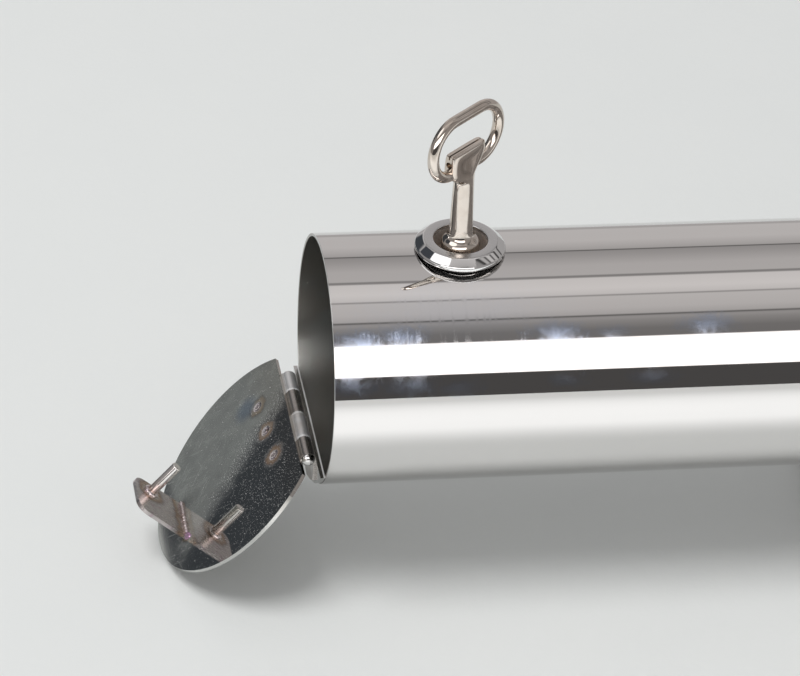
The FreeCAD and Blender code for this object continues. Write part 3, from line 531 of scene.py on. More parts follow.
def make_polished_steel():
    """Mirror-polished tube with faint lines round it, a rubbed patch and greasy finger marks by the lock."""
    material, where = new_material("polished_steel", MOUTH)
    lines = lines_on(where, (5.0, 0.04, 0.04))
    comb = lines_on(where, (0.9, 0.03, 0.03))
    haze = haze_on(where, 45.0, 0.35)
    rubbed = grease_on(where, *RUBBED_PATCH)
    marks = largest([grease_on(where, *mark) for mark in FINGER_MARKS])
    roughness = scale_add(lines, 0.020, 0.002)
    roughness = scale_add(haze, 0.012, roughness)
    roughness = scale_add(times(rubbed, spread(comb, 0.45, 0.60)), 0.13, roughness)
    roughness = scale_add(marks, 0.21, roughness)
    metal = tint((0.70, 0.69, 0.68), rubbed, 0.4, (0.66, 0.69, 0.74))
    return shade(material, mix(marks, metal, GREASE), roughness)


def make_bore_steel():
    """Unpolished inside of the tube, stained by handling."""
    material, where = new_material("bore_steel", MOUTH)
    lines = lines_on(where, (0.25, 2.0, 2.0))
    stain = haze_on(where, 22.0, 0.55)
    dust = specks_on(where, 2.2, 0.3, 0.14)
    colour = mix(lines, (0.33, 0.34, 0.325), (0.40, 0.41, 0.395))
    colour = tint(colour, stain, 0.55, BORE_STAIN)
    colour = tint(colour, dust, 0.7, BORE_DUST)
    roughness = scale_add(lines, 0.05, 0.235)
    metallic = scale_add(dust, -0.4, 0.9)
    return shade(material, colour, roughness, metallic, bump(lines, 0.004, 0.05))


def tint_flap(where, inner, colour):
    """Heat on the flap: rings round the weld spots, the tongue's foot, straw by the hinge and a blue bloom.

    Gives the colour and the mask of the rings.
    """
    across, along = axes_of(where)[1:]
    wander = noise(where, 0.5, detail=4.0)
    rings = []
    for y, z in SPOT_PLACES:
        gap = distance_between(where, (FLAP_FACE / MM, y / MM, z / MM))
        gap = scale_add(wander, 2.4, minus(gap, 1.2))
        colour, ring = heat(colour, gap, 5.0, inner)
        rings.append(ring)
    from_foot = apart(along, TONGUE_RISE / MM)
    from_middle = apart(across, (TONGUE_NEAR_Y + TONGUE_FAR_Y) / 2 / MM)
    past_end = calc("MAXIMUM", minus(from_middle, (TONGUE_FAR_Y - TONGUE_NEAR_Y) / 2 / MM), 0.0)
    gap = scale_add(wander, 2.0, calc("ADD", from_foot, past_end))
    colour = heat(colour, gap, 4.0, inner)[0]
    straw = spread(scale_add(wander, 8.0, along), 22.0, 6.0)
    colour = tint(colour, straw, 0.30, STRAW_TINT)
    bloom = spread(distance_between(where, BLUE_BLOOM), 6.5, 1.5)
    return tint(colour, times(bloom, inner), 0.7, BLUE_TINT), largest(rings)


def dust_flap(where, inner):
    """Masks of the flap's dust, thickest along a slanting streak, and of the far side's dull film and painted
    reflection.
    """
    across, along = axes_of(where)[1:]
    slope = scale_add(along, 0.52, minus(across, 12.7))
    slope = scale_add(noise(where, 0.12), 10.0, minus(slope, 5.0))
    near_side = spread(slope, 5.0, -8.0)
    streak = spread(calc("ABSOLUTE", slope), 6.0, 0.0)
    share = scale_add(streak, 0.65, scale_add(near_side, 0.18, 0.05))
    share = times(share, spread(along, 36.0, 20.0, 0.15, 1.0))
    flat = linked("ShaderNodeCombineXYZ", {0: across, 1: along})
    dust = largest([
        times(specks_on(flat, spacing, share, radius, flat_specks), strength)
        for spacing, radius, strength in ((1.8, 0.11, 0.9), (0.75, 0.20, 0.85), (0.40, 0.28, 0.6))
    ])
    below_tongue = spread(along, 55.0, 49.0, 0.15, 1.0)
    film_and_reflection = times(minus(1.0, near_side), inner, below_tongue)
    return times(dust, inner), times(film_and_reflection, scale_add(noise(where, 0.2), 0.24, 0.15))


def make_flap_sheet():
    """Flap: dull mirror with dust, fine scratches and heat tint round the weld spots and the tongue."""
    material, where = new_material("flap_sheet", *ON_FLAP)
    inner = spread(axes_of(where)[0], FLAP_FACE / MM - 0.05, FLAP_FACE / MM - 0.02)
    colour = mix(noise(where, 0.06), (0.52, 0.53, 0.51), (0.60, 0.59, 0.57))
    colour, rings = tint_flap(where, inner, colour)
    dust, film_and_reflection = dust_flap(where, inner)
    # Painted reflection: the far side turns a dull grey-green, partly a film and partly the room it would
    # mirror.
    colour = mix(film_and_reflection, colour, FLAP_FILM_AND_REFLECTION)
    lines = largest([
        use(scratches, {"Vector": where, "Turn": turn, "Lines": (0, 5.0, 0.06), "Share": share})["Mask"]
        for turn, share in ((0.5, 0.22), (-0.7, 0.16), (1.35, 0.14))
    ])
    roughness = scale_add(lines_on(where, (0.5, 0.1, 6.0)), 0.04, 0.02)
    roughness = scale_add(lines, 0.16, roughness)
    roughness = scale_add(dust, 0.5, roughness)
    colour = tint(colour, lines, 0.35, SCRATCHED)
    colour = mix(dust, colour, FLAP_DUST)
    covered = largest([times(rings, 0.4), times(dust, 0.85), film_and_reflection])
    return shade(material, colour, roughness, minus(1.0, covered), bump(lines, 0.06, 0.02))


def knuckle_edge_highlights(where):
    """Rubbed edges at the joints between the hinge's knuckles, painted bright as highlights."""
    sideways = vector_calc("MULTIPLY", where, (1, 0, 1))
    from_axis = distance_between(sideways, (HINGE.x / MM, 0, HINGE.z / MM))
    across = axes_of(where)[1]
    edges = [spread(apart(across, joint), 0.55, 0.25) for joint in KNUCKLE_JOINTS]
    return times(largest(edges), spread(from_axis, 2.6, 2.4))


def segment_edge_highlight(where):
    """Rubbed upper inner edge of the segment below the flap, painted bright as a highlight."""
    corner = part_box("hinge_segment")[1] / MM
    axes = axes_of(where)
    inner = spread(axes[0], corner.x - 0.55, corner.x - 0.35)
    return times(inner, spread(axes[2], corner.z - 0.3, corner.z - 0.1))


def make_brushed_steel(name, lines, dark, pale, roughness, metallic=1.0, worn_edge_highlights=None):
    """Satin steel with brushed lines and small stains, and worn edges painted bright as highlights where
    given.
    """
    material, where = new_material(name)
    brushed = lines_on(where, lines)
    stain = haze_on(where, 9.0, 0.35)
    colour = mix(brushed, dark, pale)
    if worn_edge_highlights:
        edges = worn_edge_highlights(where)
        # Painted highlight: the worn edges turn pale and less metallic, so they shine like small chamfers.
        colour = mix(edges, colour, WORN_EDGE_HIGHLIGHT)
        metallic = scale_add(edges, -0.5, metallic)
    colour = tint(colour, stain, 0.45, tuple(level * tone for level, tone in zip(dark, STAIN_TONE)))
    worn = scale_add(brushed, 0.14, roughness - 0.07)
    worn = scale_add(stain, 0.08, worn)
    return shade(material, colour, worn, metallic, bump(brushed, 0.05, 0.05))


def make_tongue_steel():
    """Latch tongue: pinkish oxide, darker round the latch pin and along its welded foot."""
    material, where = new_material("tongue_steel", *ON_FLAP)
    wander = noise(where, 0.4, detail=5.0)
    grain = lines_on(where, (0.4, 4.0, 4.0))
    colour = ramp(noise(where, 0.22, detail=5.0, distortion=1.2), TONGUE_SHADES)
    from_pin = distance_between(where, (LATCH_PIN_X / MM, LATCH_PIN_Y / MM, TONGUE_RISE / MM))
    colour = heat(colour, scale_add(wander, 3.0, minus(from_pin, 2.6)), 5.5, 0.8)[0]
    height = minus(axes_of(where)[0], FLAP_FACE / MM)
    colour = heat(colour, scale_add(wander, 5.0, minus(height, 2.0)), 6.0, 0.85)[0]
    return shade(material, colour, scale_add(grain, 0.16, 0.18), normal=bump(grain, 0.08))


def make_weld_steel(name, shades):
    """Weld metal with oxide colours in patches."""
    material, where = new_material(name)
    patches = noise(where, 0.55, detail=3.0, distortion=0.6)
    colour = ramp(patches, list(zip((0.28, 0.40, 0.54, 0.64, 0.76), shades)))
    rough = noise(where, 3.0)
    return shade(material, colour, scale_add(rough, 0.25, 0.12), normal=bump(rough, 0.2))


def make_drawn_steel():
    """Latch pin: bright drawn rod, tinted warm towards its weld."""
    material, where = new_material("drawn_steel", *ON_FLAP)
    lines = lines_on(where, (3.0, 3.0, 0.06))
    colour = mix(lines, (0.66, 0.63, 0.61), (0.88, 0.86, 0.84))
    along = scale_add(lines, 3.0, axes_of(where)[2])
    colour = tint(colour, spread(along, TONGUE_RISE / MM - 7, TONGUE_RISE / MM), 0.75, WARM_ROD)
    return shade(material, colour, scale_add(lines, 0.12, 0.08), normal=bump(lines, 0.08))


def make_chrome():
    """Chrome of the lock, with a duller top ring, a recess of grime and painted warm reflection, specks and
    fine wear.
    """
    material, where = new_material("lock_chrome", LOCK)
    across, beside, height = axes_of(where)
    radius = calc("SQRT", scale_add(across, across, times(beside, beside)))
    top = times(spread(height, -0.12, -0.02), spread(radius, 7.9, 8.3))
    inside = times(spread(radius, 8.6, 8.1), spread(height, -0.2, -1.6))
    grime_and_reflection = scale_add(haze_on(where, 3.0, 0.5), 0.25, 0.65)
    dots = specks_on(where, 0.8, 0.2, 0.2)
    fine = noise(where, 2.5, detail=4.0)
    colour = mix(top, (0.74, 0.74, 0.735), (0.60, 0.60, 0.60))
    # Painted reflection: the recess turns warm, pale and less metallic, partly grime and partly the key
    # mirrored in it.
    colour = tint(colour, inside, grime_and_reflection, RECESS_GRIME_AND_REFLECTION)
    colour = tint(colour, dots, 0.6, LOCK_SPECKS)
    roughness = scale_add(top, 0.20, scale_add(fine, 0.06, 0.02))
    roughness = scale_add(inside, 0.28, roughness)
    return shade(material, colour, roughness, scale_add(inside, -0.45, 1.0))


def make_nickel():
    """Worn nickel of the key, rougher on the shaft, with painted shade darkening the shaft and, warmer, the
    pressed head.
    """
    material, where = new_material("key_nickel", LOCK)
    height = axes_of(where)[2]
    worn = haze_on(where, 5.0, 0.45)
    fine = noise(where, 1.4, detail=5.0)
    dots = specks_on(where, 1.3, 0.15, 0.14)
    head = spread(height, 20.0, 24.0)
    shaft = times(spread(height, 1.5, 4.0), spread(height, 22.0, 19.0))
    colour = mix(worn, (0.72, 0.665, 0.605), (0.63, 0.565, 0.50))
    # Painted shade: the head and the shaft are darkened, the head warmer, to dim what they mirror.
    colour = tint(colour, head, 0.35, (0.55, 0.48, 0.42))
    colour = tint(colour, shaft, 0.6, (0.54, 0.49, 0.44))
    colour = tint(colour, dots, 0.5, KEY_SPECKS)
    roughness = scale_add(worn, 0.05, scale_add(fine, 0.05, 0.02))
    roughness = scale_add(shaft, 0.08, roughness)
    return shade(material, colour, roughness, normal=bump(fine, 0.04, 0.05))


def make_matt(name, dark, pale, roughness):
    """Rubber or moulded plastic with fine texture and dust in it."""
    material, where = new_material(name)
    fine = noise(where, 3.0, detail=5.0)
    dusty = specks_on(where, 1.0, 0.25, 0.15)
    colour = tint(mix(fine, dark, pale), dusty, 0.4, MATT_DUST)
    return shade(material, colour, scale_add(fine, 0.15, roughness), 0.0, bump(fine, 0.2))


def make_table_top():
    """Pale laminate with the faintest mottle, fading far from the object, and a painted sheen that glows in
    reflections.
    """
    material, where = new_material("table_top")
    across = axes_of(where)[1]
    cloud = noise(where, 0.012, detail=4.0)
    fine = noise(where, 0.45, detail=3.0)
    mirrored = made(material.node_tree, "ShaderNodeLightPath", out="Is Glossy Ray")
    front, back = MIRRORED_TABLE
    before = calc("LESS_THAN", across, front)
    beyond = calc("GREATER_THAN", across, back)
    seen = minus(1.0, times(mirrored, calc("ADD", before, beyond)))
    fade = spread(distance_between(where, (MOUTH.x / 2 / MM, 0, 0)), *TABLE_FADE)
    # Painted sheen: the table glows, for reflections only, where the window's glare would fall.
    rise, fall = (spread(across, *span) for span in (SHEEN_RISE, SHEEN_FALL))
    sheen = times(rise, fall, SHEEN_LEVEL, mirrored)
    colour = mix(cloud, (0.775, 0.79, 0.78), (0.815, 0.825, 0.81))
    return shade(material, colour, scale_add(fine, 0.1, 0.45), 0.0, bump(fine, 0.30, 0.2), {
        "Specular IOR Level": 0.25,
        "Alpha": times(seen, fade),
        "Emission Color": mix(sheen, (0.0, 0.0, 0.0), (1.0, 0.99, 1.0)),
        "Emission Strength": 1.0,
    })


def new_object(name, data):
    """Object at the origin that holds a finished mesh, a light or a camera."""
    piece = bpy.data.objects.new(name, data)
    bpy.context.scene.collection.objects.link(piece)
    return piece


def paint(piece, *materials):
    """Give a piece its materials."""
    piece.data.materials.clear()
    for material in materials:
        piece.data.materials.append(material)


def settle(piece):
    """Turn what the piece's modifiers make into its plain mesh."""
    graph = bpy.context.evaluated_depsgraph_get()
    mesh = bpy.data.meshes.new_from_object(piece.evaluated_get(graph))
    piece.modifiers.clear()
    plain = piece.data
    piece.data = mesh
    bpy.data.meshes.remove(plain)
    mesh.name = piece.name


def smooth(piece, sharp_degrees=35.0):
    """Shade smooth apart from sharp edges."""
    for face in piece.data.polygons:
        face.use_smooth = True
    piece.data.set_sharp_from_angle(angle=math.radians(sharp_degrees))


def finish_mesh(name, shape, place):
    """Object from a built shape, moved to its place with its faces turned outwards."""
    bmesh.ops.remove_doubles(shape, verts=shape.verts, dist=MERGE_DISTANCE)
    loose = [edge for edge in shape.edges if not edge.link_faces]
    bmesh.ops.delete(shape, geom=loose, context="EDGES")
    bmesh.ops.recalc_face_normals(shape, faces=shape.faces)
    shape.transform(place)
    mesh = bpy.data.meshes.new(name)
    shape.to_mesh(mesh)
    shape.free()
    piece = new_object(name, mesh)
    smooth(piece)
    return piece


def turns_of(steps):
    """Even angles round a full turn."""
    return [2 * math.pi * step / steps for step in range(steps)]


def circle(radius, steps):
    """Points round a circle."""
    return [(radius * math.cos(turn), radius * math.sin(turn)) for turn in turns_of(steps)]


def soften(corners, steps=6):
    """Closed outline of (along, radius, round) corners, with each corner rounded off."""
    outline = []
    for index, (along, radius, rounding) in enumerate(corners):
        corner = Vector((along, radius))
        if not rounding:
            outline.append(corner)
            continue
        before = Vector(corners[index - 1][:2])
        after = Vector(corners[(index + 1) % len(corners)][:2])
        start = corner + (before - corner).normalized() * rounding
        end = corner + (after - corner).normalized() * rounding
        for step in range(steps + 1):
            share = step / steps
            outline.append(start.lerp(corner, share).lerp(corner.lerp(end, share), share))
    return outline


def bridge(shape, here, there):
    """Join two closed rings of the same number of points with faces."""
    for index in range(len(here)):
        following = (index + 1) % len(here)
        shape.faces.new((here[index], here[following], there[following], there[index]))


def lathe(name, outline, place, steps=TUBE_STEPS):
    """Turn a closed outline of (along, radius) points about the X axis, then put it in place."""
    shape = bmesh.new()
    rings = [
        [shape.verts.new((x, r * math.cos(turn), r * math.sin(turn))) for x, r in outline]
        for turn in turns_of(steps)
    ]
    for here, there in zip(rings, rings[1:] + rings[:1]):
        bridge(shape, here, there)
    return finish_mesh(name, shape, place)


def prism(name, outline, low, high, place):
    """Upright block over an outline of (x, y) points, then put in place; used as a cutter."""
    shape = bmesh.new()
    bottom, top = ([shape.verts.new((x, y, z)) for x, y in outline] for z in (low, high))
    shape.faces.new(reversed(bottom))
    shape.faces.new(top)
    bridge(shape, bottom, top)
    return finish_mesh(name, shape, place)


def carve(piece, cutter):
    """Cut one piece's shape out of another and remove the cutter."""
    cut = piece.modifiers.new("cut", "BOOLEAN")
    cut.operation = "DIFFERENCE"
    cut.solver = "EXACT"
    cut.object = cutter
    settle(piece)
    bpy.data.objects.remove(cutter)
    smooth(piece)


def dress(piece, body, slot, *replaced):
    """Parent a piece to its body and hide the solids it stands for; the finish given for it is not used."""
    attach(piece, body)
    if replaced:
        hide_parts(*replaced)


def on_flap(x, y, z):
    """Place on the open flap of a point given with the flap closed, from the hinge axis."""
    return HINGE + Matrix.Rotation(-OPEN_ANGLE, 3, "Y") @ Vector((x, y, z))


def make_tube(outside, inside):
    """Tube with softened rims and the hole for the lock."""
    inner = TUBE_RADIUS - TUBE_WALL
    near_lock = [LOCK.x - MOUTH.x + side * FLANGE_RADIUS for side in (-1, 1)]
    outline = soften([
        (0, TUBE_RADIUS, RIM_ROUND), *((x, TUBE_RADIUS, 0) for x in near_lock), (TUBE_LENGTH, TUBE_RADIUS, 0),
        (TUBE_LENGTH, inner, 0), *((x, inner, 0) for x in reversed(near_lock)), (0, inner, RIM_ROUND),
    ])
    tube = lathe("polished_tube", outline, Matrix.Translation(MOUTH))
    upright = Matrix.Translation((LOCK.x, 0, TUBE_AXIS_Z))
    carve(tube, prism("drill", circle(LOCK_HOLE_RADIUS, DRILL_STEPS), 0, 2 * TUBE_RADIUS, upright))
    paint(tube, outside, inside)
    for face in tube.data.polygons:
        radius = (face.center - MOUTH).yz.length
        face.material_index = 1 if radius < TUBE_RADIUS - TUBE_WALL / 2 else 0
    dress(tube, "tube_body", "polished_tube", "tube")


def make_latch_rod(steel):
    """Latch pin with a softly broken edge at its tip."""
    corners = [
        (0, 0, 0), (0, LATCH_PIN_RADIUS, 0), (LATCH_PIN_LENGTH, LATCH_PIN_RADIUS, LATCH_TIP_ROUND),
        (LATCH_PIN_LENGTH, 0, 0),
    ]
    opened = Matrix.Translation(HINGE) @ Matrix.Rotation(-OPEN_ANGLE, 4, "Y")
    base = Matrix.Translation((LATCH_PIN_X, LATCH_PIN_Y, TONGUE_RISE - TONGUE_HALF_THICKNESS))
    towards_hinge = Matrix.Rotation(math.pi / 2, 4, "Y")
    rod = lathe("latch_rod", soften(corners), opened @ base @ towards_hinge, ROD_STEPS)
    paint(rod, steel)
    dress(rod, "flap", "latch_steel", "latch_pin")


def make_hinge_rod(steel):
    """Hinge pin with a domed head at each end."""
    low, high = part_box("hinge_pin")
    neck = (high.y - low.y) / 2 - PIN_HEAD_HEIGHT
    turns = [math.pi / 2 * step / DOME_STEPS for step in range(DOME_STEPS + 1)]
    dome = [(neck + PIN_HEAD_HEIGHT * math.sin(turn), PIN_HEAD_RADIUS * math.cos(turn)) for turn in turns]
    right = [(neck, HINGE_PIN_RADIUS), *dome]
    left = [(-x, r) for x, r in reversed(right)]
    place = Matrix.Translation((low + high) / 2) @ Matrix.Rotation(math.pi / 2, 4, "Z")
    rod = lathe("hinge_rod", left + right, place, ROD_STEPS)
    paint(rod, steel)
    dress(rod, "tube_body", "hinge_steel", "hinge_pin")


def make_lock_housing(chrome):
    """Lock body with soft flange edges, a chamfered recess and room for its thread."""
    thread_root = HOUSING_RADIUS - THREAD_DEPTH
    corners = [
        (0, RECESS_RADIUS, LIP_ROUND), (0, FLANGE_TOP_RADIUS, FLANGE_TOP_ROUND),
        (-FLANGE_RIM_LEVEL, FLANGE_RADIUS, FLANGE_RIM_ROUND), (-FLANGE_DEPTH, FLANGE_RADIUS, LIP_ROUND),
        (-FLANGE_DEPTH, HOUSING_RADIUS, 0), (-PLAIN_NECK, HOUSING_RADIUS, 0),
        (-PLAIN_NECK - THREAD_DEPTH, thread_root, 0), (-HOUSING_DEPTH + THREAD_DEPTH, thread_root, 0),
        (-HOUSING_DEPTH, thread_root - THREAD_DEPTH, 0), (-HOUSING_DEPTH, BEARING_RADIUS, 0),
        (-RECESS_DEPTH, BEARING_RADIUS, 0), (-RECESS_DEPTH, RECESS_RADIUS, RECESS_FLOOR_ROUND),
    ]
    upright = Matrix.Translation(LOCK) @ Matrix.Rotation(-math.pi / 2, 4, "Y")
    housing = lathe("lock_body", soften(corners), upright, LOCK_STEPS)
    paint(housing, chrome)
    dress(housing, "tube_body", "lock_chrome", "lock_housing")


def rounded(value, squareness):
    """Part of a round section that gets squarer as the number grows."""
    return math.copysign(abs(value) ** (2 / squareness), value)


def make_key_stem(nickel):
    """Key: bell, shaft with the seam of its folded sheet, and the head pressed flat round the ring."""
    lean = Matrix.Rotation(-KEY_LEAN, 4, "Y") @ Matrix.Rotation(KEY_TURN, 4, "Z")
    place = Matrix.Translation(LOCK - Vector((KEY_PIVOT * math.sin(KEY_LEAN), 0, 0))) @ lean
    shape = bmesh.new()
    rings = []
    for height, left, right, half_thickness, squareness in KEY_SECTIONS:
        ring = []
        for step, turn in enumerate(turns_of(KEY_STEPS)):
            across = (left + right) / 2 + (right - left) / 2 * rounded(math.cos(turn), squareness)
            beside = half_thickness * rounded(math.sin(turn), squareness)
            if step == SEAM_STEP and SEAM_SPAN[0] < height < SEAM_SPAN[1]:
                across, beside = SEAM_DEPTH * across, SEAM_DEPTH * beside
            ring.append(shape.verts.new(Vector((across, beside, height)) * MM))
        rings.append(ring)
    for here, there in zip(rings, rings[1:]):
        bridge(shape, here, there)
    shape.faces.new(rings[0])
    shape.faces.new(rings[-1])
    stem = finish_mesh("key_shaft", shape, place)
    socket = circle(SOCKET_RADIUS, SOCKET_SIDES)
    carve(stem, prism("socket", socket, 2 * KEY_FOOT, KEY_FOOT + SOCKET_DEPTH, place))
    groove = [(x * HEAD_REACH, y * FOLD_HALF) for x, y in SQUARE]
    carve(stem, prism("fold", groove, FOLD_FLOOR, 2 * FOLD_FLOOR, place))
    at_curl = place @ Matrix.Translation((-HEAD_REACH, 0, CURL_HEIGHT))
    sideways = at_curl @ Matrix.Rotation(math.pi / 2, 4, "Y")
    carve(stem, prism("curl", circle(CURL_RADIUS, CURL_STEPS), 0, CURL_DEPTH, sideways))
    paint(stem, nickel)
    dress(stem, "key", "key_nickel", "key_stem")


def new_tree(name, sizes, has_shape=True):
    """Geometry tree with named size inputs and a material; gives the tree and its input sockets."""
    tree = bpy.data.node_groups.new(name, "GeometryNodeTree")
    shape = {"Shape": "Geometry"}
    for socket, kind in {**(shape if has_shape else {}), **sizes, "Material": "Material"}.items():
        tree.interface.new_socket(name=socket, in_out="INPUT", socket_type=f"NodeSocket{kind}")
    tree.interface.new_socket(name="Shape", in_out="OUTPUT", socket_type="NodeSocketGeometry")
    return tree, tree.nodes.new("NodeGroupInput").outputs


def close_tree(tree, shape, material):
    """End a geometry tree with a smooth real mesh in its material."""
    real = linked("GeometryNodeRealizeInstances", {"Geometry": shape})
    soft = linked("GeometryNodeSetShadeSmooth", {"Geometry": real})
    painted = linked("GeometryNodeSetMaterial", {"Geometry": soft, "Material": material})
    add(tree, "NodeGroupOutput", {"Shape": painted})


def ring_curve(tree, resolution, radius):
    return made(tree, "GeometryNodeCurvePrimitiveCircle", {"Resolution": resolution, "Radius": radius})


def grow(name, tree, values, points=(), edges=()):
    """Run a geometry tree on a few points and edges, and keep the plain mesh."""
    mesh = bpy.data.meshes.new(name)
    mesh.from_pydata(list(points), list(edges), [])
    piece = new_object(name, mesh)
    modifier = piece.modifiers.new("grow", "NODES")
    modifier.node_group = tree
    for item in tree.interface.items_tree:
        if item.in_out == "INPUT" and item.name in values:
            modifier[item.identifier] = values[item.name]
    settle(piece)
    return piece


def make_bead_tree():
    """Weld bead along a path, with the ripples of the moving arc."""
    sizes = {"Bead Radius": "Float", "Ripple Pitch": "Float", "Ripple Depth": "Float"}
    tree, entry = new_tree("weld_bead", sizes)
    path = linked("GeometryNodeMeshToCurve", {"Mesh": entry["Shape"]})
    step = calc("DIVIDE", entry["Ripple Pitch"], 6.0)
    even = linked("GeometryNodeResampleCurve", {"Curve": path, "Length": step}, mode="LENGTH")
    travelled = made(tree, "GeometryNodeSplineParameter", out="Length")
    phase = times(calc("DIVIDE", travelled, entry["Ripple Pitch"]), math.pi)
    ripple = times(calc("ABSOLUTE", calc("SINE", phase)), entry["Ripple Depth"])
    cloud = made(tree, "ShaderNodeTexNoise", {"Scale": 900.0, "Detail": 1.0})
    swell = calc("ADD", ripple, scale_add(cloud, 0.5, 0.6))
    bead = linked("GeometryNodeCurveToMesh", {
        "Curve": even, "Profile Curve": ring_curve(tree, 16, 1.0),
        "Scale": times(swell, entry["Bead Radius"]), "Fill Caps": True,
    })
    close_tree(tree, bead, entry["Material"])
    return tree


def make_nugget_tree():
    """Spot welds: a low dimpled button with a raised ring at each point, turned to face one way."""
    sizes = {"Nugget Radius": "Float", "Nugget Height": "Float", "Facing": "Vector"}
    tree, entry = new_tree("spot_weld", sizes)
    broad, high = entry["Nugget Radius"], entry["Nugget Height"]
    ball = made(tree, "GeometryNodeMeshUVSphere", {"Segments": 32, "Rings": 16, "Radius": 1.0})
    size = linked("ShaderNodeCombineXYZ", {0: broad, 1: broad, 2: times(high, 0.5)})
    button = linked("GeometryNodeTransform", {"Geometry": ball, "Scale": size})
    edge = ring_curve(tree, 48, times(broad, 0.5))
    wire = ring_curve(tree, 12, times(high, 0.9))
    ring = linked("GeometryNodeCurveToMesh", {"Curve": edge, "Profile Curve": wire})
    nugget = add(tree, "GeometryNodeJoinGeometry")
    for part in (button, ring):
        tree.links.new(part, nugget.inputs[0])
    placed = linked("GeometryNodeInstanceOnPoints", {
        "Points": entry["Shape"], "Instance": nugget.outputs[0], "Rotation": entry["Facing"],
    })
    close_tree(tree, placed, entry["Material"])
    return tree


def make_thread_tree():
    """Screw thread: a three-sided ridge wound in a helix."""
    sizes = {"Root Radius": "Float", "Pitch": "Float", "Depth": "Float", "Length": "Float", "Foot": "Vector"}
    tree, entry = new_tree("screw_thread", sizes, has_shape=False)
    root, length = entry["Root Radius"], entry["Length"]
    helix = linked("GeometryNodeCurveSpiral", {
        "Resolution": 64, "Rotations": calc("DIVIDE", length, entry["Pitch"]),
        "Start Radius": root, "End Radius": root, "Height": length,
    })
    ridge = ring_curve(tree, 3, entry["Depth"])
    inputs = {"Curve": helix, "Profile Curve": ridge, "Fill Caps": True}
    thread = linked("GeometryNodeCurveToMesh", inputs)
    placed = linked("GeometryNodeTransform", {"Geometry": thread, "Translation": entry["Foot"]})
    close_tree(tree, placed, entry["Material"])
    return tree


def lay_bead(name, tree, radius, ripples, material, path):
    """Weld bead along a path: straight between two points, or else a closed ring."""
    pitch, depth = ripples
    values = {"Bead Radius": radius, "Ripple Pitch": pitch, "Ripple Depth": depth, "Material": material}
    count = len(path)
    edges = [(0, 1)] if count == 2 else [(step, (step + 1) % count) for step in range(count)]
    return grow(name, tree, values, path, edges)


def tube_underside(y):
    """Height of the tube's lower side at a distance from its middle."""
    return TUBE_AXIS_Z - math.sqrt(TUBE_RADIUS ** 2 - y ** 2)


def make_welds(weld, purple, plain_weld):
    """Beads at the tongue, the latch pin and the bracket posts, and the spots that hold the hinge leaf."""
    bead = make_bead_tree()
    foot_x = FLAP_FACE + WELD_SEAT
    foot_z = TONGUE_RISE - TONGUE_HALF_THICKNESS - WELD_SEAT
    ends = [on_flap(foot_x, y, foot_z) for y in (TONGUE_NEAR_Y, TONGUE_FAR_Y)]
    seam = lay_bead("tongue_seam", bead, SEAM_BEAD, SEAM_RIPPLES, weld, ends)
    dress(seam, "flap", "tinted_steel", "tongue_weld")

    start = on_flap(foot_x + CRATER_REACH[0], TONGUE_NEAR_Y + CRATER_REACH[1], foot_z)
    crater = lay_bead("seam_crater", bead, CRATER_BEAD, SEAM_RIPPLES, purple, [start, ends[0]])
    dress(crater, "flap", "tinted_steel")

    round_pin = circle(LATCH_PIN_RADIUS + COLLAR_GAP, WELD_STEPS)
    collar = [on_flap(LATCH_PIN_X + x, LATCH_PIN_Y + y, foot_z + COLLAR_RISE) for x, y in round_pin]
    ring = lay_bead("pin_weld", bead, COLLAR_BEAD, SEAM_RIPPLES, weld, collar)
    dress(ring, "flap", "tinted_steel")

    points = [on_flap(FLAP_FACE, y, z) for y, z in SPOT_PLACES]
    facing = Matrix.Rotation(math.pi / 2 - OPEN_ANGLE, 3, "Y").to_euler()
    spots = grow("hinge_spot_welds", make_nugget_tree(), {
        "Nugget Radius": SPOT_RADIUS, "Nugget Height": SPOT_HEIGHT, "Facing": facing, "Material": weld,
    }, points)
    dress(spots, "flap", "tinted_steel", "leaf_spot_welds")

    for name, (low, high) in POST_BOXES.items():
        middle = (low.x + high.x) / 2
        around = circle((high.x - low.x) / 2, WELD_STEPS)
        on_plate = [Vector((middle + x, y, PLATE_TOP)) for x, y in around]
        on_tube = [Vector((middle + x, y, tube_underside(y))) for x, y in around]
        for end, path in (("plate", on_plate), ("tube", on_tube)):
            collar = lay_bead(f"{name}_{end}_weld", bead, POST_BEAD, POST_RIPPLES, plain_weld, path)
            dress(collar, "tube_body", "bracket_steel")


def make_lock_thread(steel):
    """Thread on the lower part of the lock body, which the clamping nut runs on."""
    start = HOUSING_DEPTH - THREAD_PITCH
    thread = grow("lock_thread", make_thread_tree(), {
        "Root Radius": HOUSING_RADIUS - THREAD_DEPTH, "Pitch": THREAD_PITCH, "Depth": THREAD_DEPTH,
        "Length": start - PLAIN_NECK - THREAD_PITCH, "Foot": LOCK - Vector((0, 0, start)), "Material": steel,
    })
    dress(thread, "tube_body", "lock_chrome")


def make_camera():
    """Camera on the flap's side of the tube, above it."""
    lens = bpy.data.cameras.new("camera")
    lens.sensor_width = SENSOR_WIDTH
    lens.lens = FOCAL_LENGTH_PX / IMAGE_WIDTH_PX * SENSOR_WIDTH
    lens.clip_end = 100
    camera = new_object("camera", lens)
    turn = Matrix.Rotation(CAMERA_AZIMUTH, 4, "Z")
    tilt = Matrix.Rotation(math.pi / 2 - CAMERA_ELEVATION, 4, "X")
    roll = Matrix.Rotation(CAMERA_ROLL, 4, "Z")
    back = Matrix.Translation((0, 0, CAMERA_DISTANCE))
    camera.matrix_world = Matrix.Translation(CAMERA_AIM) @ turn @ tilt @ roll @ back
    bpy.context.scene.camera = camera


